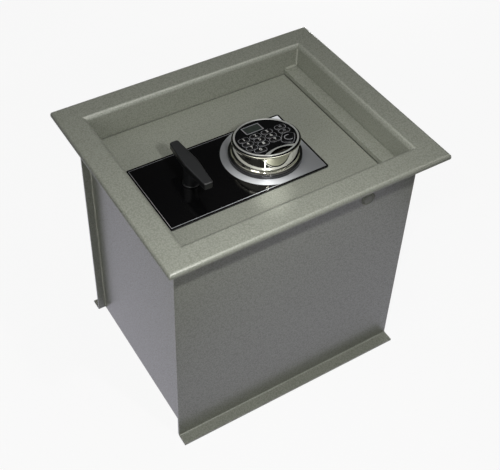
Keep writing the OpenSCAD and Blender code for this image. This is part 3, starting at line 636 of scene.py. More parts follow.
class Workpiece:
    """A visible piece, put together from closed shells."""

    def __init__(self, name: str) -> None:
        """Starts an empty piece of this name."""
        self.name = name
        self.shape = bmesh.new()

    def skin(self, rings: Sequence[Sequence[Vector]], loop: bool = False) -> Workpiece:
        """Adds a closed shell over a row of rings.

        Args:
            rings: rings of equally many points, in millimetres.
            loop: whether the last ring joins the first; otherwise both ends are capped.

        Returns:
            The piece.
        """
        shell = bmesh.new()
        rows = [[shell.verts.new(p * MM) for p in ring] for ring in rings]
        pairs = list(zip(rows, rows[1:] + rows[:1])) if loop else list(zip(rows, rows[1:]))
        for low, high in pairs:
            for k in range(len(low)):
                shell.faces.new((low[k - 1], low[k], high[k], high[k - 1]))
        if not loop:
            shell.faces.new(rows[0][::-1])
            shell.faces.new(rows[-1])
        bmesh.ops.remove_doubles(shell, verts=shell.verts, dist=MERGE_M)
        bmesh.ops.recalc_face_normals(shell, faces=shell.faces)
        carrier = bpy.data.meshes.new("shell")
        shell.to_mesh(carrier)
        shell.free()
        self.shape.from_mesh(carrier)
        bpy.data.meshes.remove(carrier)
        return self

    def slab(
        self,
        outline: Sequence[Point],
        low: float,
        high: float,
        edges: Pair = (0.0, 0.0),
        place: Place = upright,
        steps: int = 4,
    ) -> Workpiece:
        """Adds a plate of this outline with rounded rims.

        Args:
            outline: its points, counter-clockwise.
            low: its bottom.
            high: its top.
            edges: the radii of its lower and upper rim.
            place: puts a point of the plate into the frame.
            steps: chords in each rounded rim.

        Returns:
            The piece.
        """
        levels: list[Pair] = []
        for edge, end, side in ((edges[0], low, 1), (edges[1], high, -1)):
            turns = [math.pi / 2 * k / steps for k in range(steps + 1)] if edge else [math.pi / 2]
            rim = [(edge * (1 - math.sin(t)), end + side * edge * (1 - math.cos(t))) for t in turns]
            levels += rim if side > 0 else rim[::-1]
        rings = []
        for inset, level in levels:
            ring = grown(outline, -inset) if inset else outline
            rings.append([place(Vector((p.x, p.y, level))) for p in ring])
        return self.skin(rings)

    def spun(
        self, profile: Sequence[Point], axis: Sequence[float], place: Place = upright, steps: int = 96
    ) -> Workpiece:
        """Adds a turned shape.

        Args:
            profile: radius and height of its section's points.
            axis: x and y of its axis.
            place: puts a point of the shape into the frame.
            steps: chords round the axis.

        Returns:
            The piece.
        """
        rings = []
        for a in turns(steps):
            spots = [(axis[0] + p.x * math.cos(a), axis[1] + p.x * math.sin(a), p.y) for p in profile]
            rings.append([place(Vector(spot)) for spot in spots])
        return self.skin(rings, loop=True)

    def ribbon(
        self, path: Sequence[Point], width: float, low: float, high: float, place: Place, closed: bool
    ) -> Workpiece:
        """Adds a thin printed line along a path.

        Args:
            path: the middle of the line.
            width: its width.
            low: its underside.
            high: its top.
            place: puts a point of the line into the frame.
            closed: whether the line ends where it starts.

        Returns:
            The piece.
        """
        rings = []
        for i, here in enumerate(path):
            last = len(path) - 1
            ahead = path[(i + 1) % len(path)] if closed or i < last else here
            behind = path[i - 1] if closed or i > 0 else here
            along = (ahead - behind).normalized()
            side = Vector((-along.y, along.x)) * (width / 2)
            section = ((side, low), (side, high), (-side, high), (-side, low))
            rings.append([place(Vector((*(here + s), level))) for s, level in section])
        return self.skin(rings, loop=closed)

    def made(self, finish: Finish, body: str, *replaced: str) -> Object:
        """Turns the piece into an object, dresses it and hangs it on its body.

        Args:
            finish: its finish.
            body: the body that it moves with.
            replaced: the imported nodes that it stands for.

        Returns:
            The object.
        """
        return hang(meshed(self.name, self.shape), finish, body, *replaced)


def linked(name: str, data: bpy.types.ID) -> Object:
    """Makes an object of a mesh, lamp or other data and links it to the scene.

    Args:
        name: the object's name.
        data: what it is made of.

    Returns:
        The object.
    """
    made = bpy.data.objects.new(name, data)
    bpy.context.scene.collection.objects.link(made)
    return made


def meshed(name: str, shape: bmesh.types.BMesh) -> Object:
    """Makes an object of a shape, and frees the shape.

    Args:
        name: the object's name.
        shape: the shape.

    Returns:
        The object.
    """
    mesh = bpy.data.meshes.new(name)
    shape.to_mesh(mesh)
    shape.free()
    return linked(name, mesh)


def merged(node: str) -> bmesh.types.BMesh:
    """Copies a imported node's loose triangles and joins them.

    Args:
        node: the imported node.

    Returns:
        The shape.
    """
    shape = bmesh.new()
    shape.from_mesh(frame["nodes"][node].data)
    bmesh.ops.remove_doubles(shape, verts=shape.verts, dist=MERGE_M)
    return shape


def settle(piece: Object) -> None:
    """Turns a piece and its modifiers into a plain mesh.

    Args:
        piece: the object.
    """
    seen = piece.evaluated_get(bpy.context.evaluated_depsgraph_get())
    mesh = bpy.data.meshes.new_from_object(seen)
    piece.modifiers.clear()
    old = piece.data
    piece.data = mesh
    mesh.name = piece.name
    if isinstance(old, bpy.types.Mesh):
        bpy.data.meshes.remove(old)


def hang(piece: Object, finish: Finish, body: str, *replaced: str) -> Object:
    """Shades a piece, gives it its finish and lets it ride on its body.

    Args:
        piece: the object.
        finish: its finish.
        body: the body that it moves with.
        replaced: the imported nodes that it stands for.

    Returns:
        The object.
    """
    mesh = piece.data
    mesh.shade_smooth()
    mesh.set_sharp_from_angle(angle=CREASE)
    even = piece.modifiers.new("even_shading", "WEIGHTED_NORMAL")
    even.keep_sharp = True
    settle(piece)
    piece.data.materials.clear()
    piece.data.materials.append(finish.material())
    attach(piece, body)
    if replaced:
        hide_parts(*replaced)
    log.info("%s on %s: %d faces, %s", piece.name, body, len(piece.data.polygons), finish.name)
    return piece


def eased(node: str, edge: float, finish: Finish, name: str, steps: int = 2) -> Object:
    """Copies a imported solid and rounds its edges, so that they catch the light.

    Args:
        node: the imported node.
        edge: radius of the rounding.
        finish: the finish.
        name: the new piece's name.
        steps: chords in each rounded edge.

    Returns:
        The object.
    """
    shape = merged(node)
    bmesh.ops.dissolve_limit(shape, angle_limit=FLAT, verts=shape.verts, edges=shape.edges)
    piece = meshed(name, shape)
    bevel = piece.modifiers.new("eased_edges", "BEVEL")
    bevel.width = edge * MM
    bevel.segments = steps
    bevel.limit_method = "ANGLE"
    bevel.angle_limit = CREASE
    bevel.use_clamp_overlap = True
    settle(piece)
    return hang(piece, finish, body_of(node), node)


def body_of(node: str) -> str:
    """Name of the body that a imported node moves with."""
    return frame["nodes"][node]["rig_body"]


def dressed(node: str, finish: Finish) -> None:
    """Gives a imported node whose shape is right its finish.

    Args:
        node: the node's name.
        finish: the finish.
    """
    packed = frame["nodes"][node]
    packed.data.materials.clear()
    packed.data.materials.append(finish.material())
    log.info("%s: packed shape, %s", node, finish.name)


# Geometry Nodes trees


def begun(name: str, result: str, inputs: dict[str, str]) -> tuple[Tree, Any]:
    """Starts a tree that makes geometry.

    Args:
        name: the tree's name.
        result: its output's name.
        inputs: the kind of each named input.

    Returns:
        The tree, and the sockets that give what is put in.
    """
    tree = bpy.data.node_groups.new(name, "GeometryNodeTree")
    for label, kind in inputs.items():
        tree.interface.new_socket(label, in_out="INPUT", socket_type=f"NodeSocket{kind}")
    tree.interface.new_socket(result, in_out="OUTPUT", socket_type="NodeSocketGeometry")
    return tree, put(tree, "NodeGroupInput").outputs


def ended(tree: Tree, shape: Any, finish: Any) -> Tree:
    """Ends a tree: its instances become real and get their material.

    Args:
        tree: the tree.
        shape: the node that gives the geometry.
        finish: the socket with the material.

    Returns:
        The tree.
    """
    real = put(tree, "GeometryNodeRealizeInstances", (shape,))
    final = put(tree, "GeometryNodeSetMaterial", {"Geometry": real, "Material": finish})
    put(tree, "NodeGroupOutput", (final,))
    return tree


def run_tree(piece: Object, tree: Tree, values: dict[str, Any]) -> None:
    """Runs a tree on an object and keeps the result as a plain mesh.

    Args:
        piece: the object.
        tree: the tree.
        values: the value of each named input.
    """
    modifier = piece.modifiers.new(tree.name, "NODES")
    modifier.node_group = tree
    for item in tree.interface.items_tree:
        if item.in_out == "INPUT" and item.name in values:
            modifier[item.identifier] = values[item.name]
    settle(piece)


# The weld bead: rings to a ripple, points on a ring, the scale of its slow swelling, least width.
BEAD_RINGS, BEAD_POINTS, BEAD_SWELL, BEAD_LEAST = 6.0, 12, 300.0, 0.45


def weld_tree() -> Tree:
    """Builds the tree that lays a rippled weld bead along each line of a mesh.

    Returns:
        The tree.
    """
    kinds = {"Path": "Geometry", "Radius": "Float", "Pitch": "Float", "Ripple": "Float", "Seed": "Float"}
    tree, given = begun("weld_bead", "Bead", kinds | {"Finish": "Material"})
    line = put(tree, "GeometryNodeMeshToCurve", (given["Path"],))
    step = put(tree, MATH, (given["Pitch"], BEAD_RINGS), operation="DIVIDE")
    fine = put(tree, "GeometryNodeResampleCurve", {"Curve": line, "Length": step}, mode="LENGTH")
    along = put(tree, "GeometryNodeSplineParameter").outputs["Length"]
    waves = put(tree, MATH, (along, given["Pitch"]), operation="DIVIDE")
    phase = put(tree, MATH, (waves, math.pi), operation="MULTIPLY")
    swing = put(tree, MATH, (phase,), operation="SINE")
    scallop = put(tree, MATH, (swing,), operation="ABSOLUTE")
    ripple = put(tree, MATH, (scallop, given["Ripple"]), operation="MULTIPLY")
    spot = put(tree, "GeometryNodeInputPosition")
    drift = {"Vector": spot, "W": given["Seed"], "Scale": BEAD_SWELL, "Detail": 1.0}
    base = put(tree, MATH, (put(tree, NOISE, drift, noise_dimensions="4D"), BEAD_LEAST), operation="ADD")
    width = put(tree, MATH, (base, ripple), operation="ADD")
    circle = {"Resolution": BEAD_POINTS, "Radius": given["Radius"]}
    ring = put(tree, "GeometryNodeCurvePrimitiveCircle", circle, mode="RADIUS")
    tube = {"Curve": fine, "Profile Curve": ring, "Scale": width, "Fill Caps": True}
    bead = put(tree, "GeometryNodeSetShadeSmooth", (put(tree, "GeometryNodeCurveToMesh", tube),))
    return ended(tree, bead, given["Finish"])


def screw_tree() -> Tree:
    """Builds the tree that drives one screw into each vertex of a mesh, each with a turn of its own.

    Returns:
        The tree.
    """
    kinds = {"Seats": "Geometry", "Screw": "Object", "Lean": "Vector", "Seed": "Int", "Finish": "Material"}
    tree, given = begun("driven_screws", "Screws", kinds)
    screw = put(tree, "GeometryNodeObjectInfo", {"Object": given["Screw"]}).outputs["Geometry"]
    drive = put(tree, "FunctionNodeRandomValue", {3: math.tau, "Seed": given["Seed"]}, data_type="FLOAT")
    about = {"Axis": (0.0, 0.0, 1.0), "Angle": drive.outputs[1]}
    turn = {
        "Rotation": put(tree, "FunctionNodeEulerToRotation", {"Euler": given["Lean"]}),
        "Rotate By": put(tree, "FunctionNodeAxisAngleToRotation", about),
    }
    turned = put(tree, "FunctionNodeRotateRotation", turn, rotation_space="LOCAL")
    seated = {"Points": given["Seats"], "Instance": screw, "Rotation": turned}
    return ended(tree, put(tree, "GeometryNodeInstanceOnPoints", seated), given["Finish"])


def islands(node: str) -> list[tuple[Vector, Vector]]:
    """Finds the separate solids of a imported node.

    Args:
        node: its name.

    Returns:
        The lower and upper corner of each solid's box, in millimetres.
    """
    shape = merged(node)
    shape.verts.ensure_lookup_table()
    seen: set[int] = set()
    boxes = []
    for first in shape.verts:
        if first.index in seen:
            continue
        seen.add(first.index)
        group = [first]
        for vertex in group:
            for edge in vertex.link_edges:
                other = edge.other_vert(vertex)
                if other.index not in seen:
                    seen.add(other.index)
                    group.append(other)
        spots = [v.co / MM for v in group]
        boxes.append(tuple(Vector(pick(s[i] for s in spots) for i in range(3)) for pick in (min, max)))
    shape.free()
    return boxes


# Body


@dataclass
class FoldedBody:
    """Four panels folded from sheet: a wall, a quarter of the wide flange, a lip, wings and feet.

    Attributes:
        half_x: half the inside length.
        half_y: half the inside depth.
        height: from the ground to the flange's top.
        sheet: thickness of the sheet.
        rim_w: from the wall's inner face to the lip's outer face.
        recess_bend: outer radius of the bend at the recess.
        lip_bend: outer radius of the bend at the lip.
        lip_h: height of the turned-down lip.
        foot_out: from the wall's inner face to the foot's tip.
        foot_bend: outer radius of the bend at the foot.
        wing_out: from the wall's inner face to the wing's tip.
        tip: rounding of the sheet's cut edges.
        corner: rounding of the lip's upright corners, in plan.
        strip_over: how much the paint's build narrows the gap beside the hinge cover.
        strip_edges: rounding of the hinge cover's lower and upper edges.
        plate_edge: rounding of the floor plate.
        bar_edge: rounding of the ledges and of the bar under the hinge cover.
        pin_edge: rounding of the hinge pins.
        fan_deg: directions of the sections round half of an upright corner.
    """

    half_x: float = 155.0
    half_y: float = 120.5
    height: float = 360.0
    sheet: float = 3.0
    rim_w: float = 35.0
    recess_bend: float = 6.0
    lip_bend: float = 4.5
    lip_h: float = 9.0
    foot_out: float = 19.0
    foot_bend: float = 5.0
    wing_out: float = 14.0
    tip: float = 0.5
    corner: float = 2.5
    strip_over: float = 0.7
    strip_edges: Pair = (0.3, 0.9)
    plate_edge: float = 0.5
    bar_edge: float = 0.6
    pin_edge: float = 0.4
    fan_deg: tuple[float, ...] = (45.0, 30.0, 15.0, 0.0)

    def rim_profile(self) -> list[Point]:
        """Section of the flange: out from the wall's inner face, and up.

        Returns:
            Its points, starting on the wall.
        """
        t, top, low = self.sheet, self.height, self.height - self.recess_bend
        points = filleted(
            [
                (0, low - 2 * t, 0),
                (t, low - 2 * t, 0),
                (t, top - t, self.recess_bend - t),
                (self.rim_w - t, top - t, self.lip_bend - t),
                (self.rim_w - t, top - self.lip_h, self.tip),
                (self.rim_w, top - self.lip_h, self.tip),
                (self.rim_w, top, self.lip_bend),
                (0, top, self.recess_bend),
            ]
        )
        return [Vector((p.x, max(p.y, low))) for p in points]

    def foot_profile(self) -> list[Point]:
        """Section of an end wall with its foot: out from the wall's inner face, and up.

        Returns:
            Its points, counter-clockwise.
        """
        t = self.sheet
        return filleted(
            [
                (0, 0, self.foot_bend),
                (self.foot_out, 0, self.tip),
                (self.foot_out, t, self.tip),
                (t, t, self.foot_bend - t),
                (t, self.height - self.recess_bend, 0),
                (0, self.height - self.recess_bend, 0),
            ]
        )

    def rim(self, piece: Workpiece, half_l: float, half_w: float, place: Place) -> None:
        """Adds one mitred side of the flange.

        Args:
            piece: the piece that it joins.
            half_l: half the wall's length.
            half_w: from the middle to the wall's inner face.
            place: puts along, out and up into the frame.
        """
        profile = self.rim_profile()
        turns = [math.radians(a) for a in self.fan_deg]
        stations = [(-1, a) for a in turns] + [(1, a) for a in reversed(turns)]
        rings = []
        for side, a in stations:
            ring = []
            for p in profile:
                r = max(0.0, p.x - (self.rim_w - self.corner))
                along = side * (half_l + p.x - r + r * math.sin(a))
                ring.append(place(Vector((along, half_w + p.x - r + r * math.cos(a), p.y))))
            rings.append(ring)
        piece.skin(rings)

    def end_panel(self, end: str, side: int) -> None:
        """Makes the front or back panel.

        Args:
            end: front or back.
            side: -1 for the front, 1 for the back.
        """

        def place(p: Vector) -> Vector:
            """Turns along, out and up to the frame's axes."""
            return Vector((p.x, side * p.y, p.z))

        def upended(p: Vector) -> Vector:
            """Lays a section, out and up, along x."""
            return Vector((p.z, side * (self.half_y + p.x), p.y))

        piece = Workpiece(f"{end}_sheet")
        tip_x, block_w = self.half_x + self.wing_out, self.wing_out - self.recess_bend
        piece.slab(self.foot_profile(), -tip_x, tip_x, (self.tip, self.tip), upended)
        self.rim(piece, self.half_x, self.half_y, place)
        low, high = self.height - self.recess_bend, self.height - self.sheet
        for x in (-tip_x, self.half_x + self.recess_bend):
            centre = x + block_w / 2, self.half_y + self.sheet / 2
            piece.slab(rounded_box(centre, (block_w, self.sheet), self.tip), low, high, place=place)
        piece.made(HAMMER_PAINT, "safe_body", f"{end}_panel")

    def side_panel(self, end: str, side: int) -> None:
        """Makes the left or right panel.

        Args:
            end: left or right.
            side: -1 for the left, 1 for the right.
        """

        def place(p: Vector) -> Vector:
            """Turns along, out and up to the frame's axes."""
            return Vector((side * p.y, p.x, p.z))

        piece = Workpiece(f"{end}_sheet")
        near, far = self.half_x, self.half_x + self.sheet
        corners = ((-self.half_y, near), (self.half_y, near), (self.half_y, far), (-self.half_y, far))
        wall = [Vector(corner) for corner in corners]
        piece.slab(wall, 0, self.height - self.recess_bend, (self.tip, 0), place)
        self.rim(piece, self.half_y, self.half_x, place)
        piece.made(HAMMER_PAINT, "safe_body", f"{end}_panel")

    def build(self) -> None:
        """Makes the four panels and what is welded into them."""
        self.end_panel("front", -1)
        self.end_panel("back", 1)
        self.side_panel("left", -1)
        self.side_panel("right", 1)
        eased("floor_plate", self.plate_edge, HAMMER_PAINT, "floor_sheet")
        for node in ("left_ledge", "front_ledge", "back_ledge"):
            eased(node, self.bar_edge, HAMMER_PAINT, node.replace("ledge", "rest"))
        low, high = span("hinge_cover_strip")
        start, (under, over) = low.x - self.strip_over, self.strip_edges
        corners = [(start, low.z, under), (high.x, low.z, under)]
        corners += [(high.x, high.z, over), (start, high.z, over)]
        cover = Workpiece("hinge_cover")
        cover.slab(filleted(corners), low.y, high.y, place=lambda p: Vector((p.x, p.z, p.y)))
        cover.made(HAMMER_PAINT, "safe_body", "hinge_cover_strip")
        eased("strip_support_bar", self.bar_edge, HAMMER_PAINT, "cover_bar")
        # The pins take the weld's lighter colour, a painted highlight.
        eased("hinge_pins", self.pin_edge, WELD_HIGHLIGHT_ENAMEL, "welded_pins")


@dataclass
class Welds:
    """Weld beads in the body's corners and under its flange.

    Attributes:
        radius: half the width of a full bead.
        shares: widths of the beads in the recess, inside, on the wings, at the hinge cover and
            round the pins, as shares of a full one.
        pitch: the length of one ripple.
        ripple: the depth of a ripple, as a share of the radius.
        wing_ends: how far the wings' beads stop above the ground and under the flange.
        cover_ends: how far the hinge cover's beads stop short, left and right.
        inset: how far the cover's beads sink into the wall, and the pins' stand round the pins.
        pin_steps: chords in a bead round a pin.
    """

    radius: float = 1.8
    shares: tuple[float, ...] = (0.8, 1.0, 0.9, 1.0, 0.7)
    pitch: float = 1.6
    ripple: float = 0.35
    wing_ends: Pair = (4.0, 1.0)
    cover_ends: Pair = (2.0, 1.0)
    inset: float = 0.4
    pin_steps: int = 16

    def lay(self, name: str, lines: Sequence[Sequence[Vector]], radius: float, seed: float) -> None:
        """Lays beads along straight lines.

        Args:
            name: the piece's name.
            lines: the points of each line.
            radius: half a bead's width.
            seed: what sets the bead's wander.
        """
        mesh = bpy.data.meshes.new(name)
        edges, first = [], 0
        for line in lines:
            edges += [(first + k, first + k + 1) for k in range(len(line) - 1)]
            first += len(line)
        mesh.from_pydata([p * MM for line in lines for p in line], edges, [])
        piece = linked(name, mesh)
        values = {"Radius": radius * MM, "Pitch": self.pitch * MM, "Ripple": self.ripple}
        values |= {"Seed": seed, "Finish": WELD_HIGHLIGHT_ENAMEL.material()}
        run_tree(piece, bpy.data.node_groups.get("weld_bead") or weld_tree(), values)
        # The beads' lighter colour is a painted highlight.
        hang(piece, WELD_HIGHLIGHT_ENAMEL, "safe_body")

    def build(self, body: FoldedBody) -> None:
        """Lays the beads of the body.

        Args:
            body: the panels that they join.
        """
        x, y = body.half_x, body.half_y
        low, high = span("hinge_cover_strip")
        ledge, floor = span("left_ledge")[0].z, span("floor_plate")[1].z
        foot, head = self.wing_ends[0], body.height - body.sheet - self.wing_ends[1]
        ends = low.x + self.cover_ends[0], x - self.cover_ends[1]
        pin_low, pin_high = span("hinge_pins")
        pin, pin_r = middle("hinge_pins"), (pin_high.x - pin_low.x) / 2 + self.inset
        round_pin = arc((pin.x, pin.z), pin_r, 0, 360, self.pin_steps)
        lines = {
            "recess_welds": uprights(x, y, high.z, body.height - body.recess_bend),
            "inner_welds": uprights(x, y, floor, ledge),
            "wing_welds": uprights(x + body.sheet, y, foot, head),
            "cover_welds": [
                [Vector((end, side * (y - self.inset), high.z)) for end in ends] for side in (-1, 1)
            ],
            "pin_welds": [
                [Vector((p.x, side * (y + body.sheet), p.y)) for p in round_pin] for side in (-1, 1)
            ],
        }
        for seed, (name, share) in enumerate(zip(lines, self.shares), 1):
            self.lay(name, lines[name], self.radius * share, float(seed))


# Door


@dataclass
class Door:
    """The recessed door, its fascia plate and its hinge.

    Attributes:
        fascia_edge: rounding of the fascia plate's rim.
        plate_edge: rounding of the door plate's rim.
        plate_steps: chords in that rounding.
        lug_edge: rounding of the hinge lugs.
    """

    fascia_edge: float = 0.3
    plate_edge: float = 0.8
    plate_steps: int = 3
    lug_edge: float = 0.5

    def build(self) -> None:
        """Makes the door's pieces."""
        low, high = span("fascia_plate")
        # Stoved gloss lacquer on brushed aluminium sheet: a black mirror, masked off in places
        # where the metal gives a broad satin gleam that turns round the keypad.
        printed = FasciaPrint(
            "lacquered_aluminium", "fascia_lacquer", Surface.SPRAYED, "#0b0b0c", "#09090a",
            metallic=0.0,
            roughness=0.07,
            swing=0.01,
            grain=8.0,
            relief=0.004,
            middle=tuple(middle("fascia_plate").xy),
            half=tuple((high - low).xy / 2),
            ring_at=tuple(middle("keypad_base").xy),
        )
        eased("fascia_plate", self.fascia_edge, printed, "printed_fascia")
        eased("door_plate", self.plate_edge, HAMMER_PAINT, "door_skin", self.plate_steps)
        eased("hinge_lugs", self.lug_edge, HAMMER_PAINT, "door_lugs")


# Handle


@dataclass
class Handle:
    """The T-handle: a bar with a round middle and round ends on a tapered stem.

    Attributes:
        raised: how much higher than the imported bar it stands.
        short: how much shorter each arm is.
        mid_r: half the bar's width at its middle, at the corners before their rounding.
        mid_round: rounding of those two wide corners.
        end_r: half its width at its ends.
        end_round: rounding of the ends' corners.
        thick: the bar's thickness.
        edges: rounding of the bar's lower and upper rim.
        edge_steps: chords in them.
        collar_r: radius of the stem's collar.
        collar_h: height of the collar.
        neck_low_r: radius of the stem above the collar.
        neck_top_r: radius of the stem under the bar.
        stem_rounds: rounding of the collar's lower and upper edge and of the stem above it.
    """

    raised: float = 6.0
    short: float = 4.6
    mid_r: float = 9.3
    mid_round: float = 34.0
    end_r: float = 5.75
    end_round: float = 2.8
    thick: float = 9.0
    edges: Pair = (1.12, 1.6)
    edge_steps: int = 8
    collar_r: float = 10.5
    collar_h: float = 2.0
    neck_low_r: float = 9.7
    neck_top_r: float = 9.0
    stem_rounds: Triple = (0.3, 0.5, 0.2)

    def build(self) -> None:
        """Makes the handle."""
        low, high = span("handle")
        x, y = middle("handle").xy
        near, far = low.y + self.short, high.y - self.short
        corners = [
            (self.end_r, near, self.end_round),
            (self.mid_r, y, self.mid_round),
            (self.end_r, far, self.end_round),
            (-self.end_r, far, self.end_round),
            (-self.mid_r, y, self.mid_round),
            (-self.end_r, near, self.end_round),
        ]
        outline = filleted([(x + across, along, radius) for across, along, radius in corners])
        piece = Workpiece("t_handle")
        top = high.z + self.raised
        piece.slab(outline, top - self.thick, top, self.edges, steps=self.edge_steps)
        neck, collar = top - self.thick + self.edges[1], low.z + self.collar_h
        stem = [
            (0, low.z, 0),
            (self.collar_r, low.z, self.stem_rounds[0]),
            (self.collar_r, collar, self.stem_rounds[1]),
            (self.neck_low_r, collar, self.stem_rounds[2]),
            (self.neck_top_r, neck, 0),
            (0, neck, 0),
        ]
        piece.spun(filleted(stem), (x, y))
        piece.made(POWDER_COAT, "handle", "handle")


# Keypad


class KeyKind(Enum):
    """The three shapes of key."""

    DIGIT = "digit"
    FUNCTION = "function"
    ENTER = "enter"


@dataclass(frozen=True)
class Cell:
    """Section of a battery cell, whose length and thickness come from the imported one.

    Attributes:
        turned_in: how far the film reaches in over the ends.
        film_bevel: width and height of the bevel on the film's rim.
        film_round: size of the film's shoulders.
        end_sunk: how far the flat end lies under the film's rim.
        can_bevel: width and height of the bevel round the raised contact's end.
        tip_h: height of the contact.
        tip_radii: its radius at its foot, under its bevel and on top.
        tip_bevel: height of its bevel.
        pole: radius of the pinhole that closes at the axis.
        steps: chords round the cell.
    """

    turned_in: float = 0.6
    film_bevel: Pair = (0.2, 0.25)
    film_round: float = 0.3
    end_sunk: float = 0.1
    can_bevel: Pair = (0.3, 0.2)
    tip_h: float = 1.6
    tip_radii: Triple = (1.9, 1.7, 1.4)
    tip_bevel: float = 0.2
    pole: float = 0.01
    steps: int = 64

    def sleeve(self, radius: float, half: float) -> list[Point]:
        """Section of the film.

        Args:
            radius: the cell's radius.
            half: half its length.

        Returns:
            Its points, as radius and height.
        """
        wall, shoulder, top = radius - self.turned_in, radius - self.film_round, half - self.tip_h
        wide, high = self.film_bevel
        section = [(wall, high - half), (wall + wide, -half), (shoulder, -half)]
        section += [(radius, self.film_round - half), (radius, top - self.film_round)]
        return [Vector(p) for p in (*section, (shoulder, top), (wall, top))]

    def can(self, radius: float, half: float) -> list[Point]:
        """Section of the plated can and its contact.

        Args:
            radius: the cell's radius.
            half: half its length.

        Returns:
            Its points, as radius and height.
        """
        wall, low, top = radius - self.turned_in, self.end_sunk - half, half - self.tip_h
        wide, high = self.can_bevel
        foot, side, crown = self.tip_radii
        section = [(self.pole, low), (wall, low), (wall, top - high), (wall - wide, top), (foot, top)]
        section += [(side, half - self.tip_bevel), (crown, half), (self.pole, half)]
        return [Vector(p) for p in section]


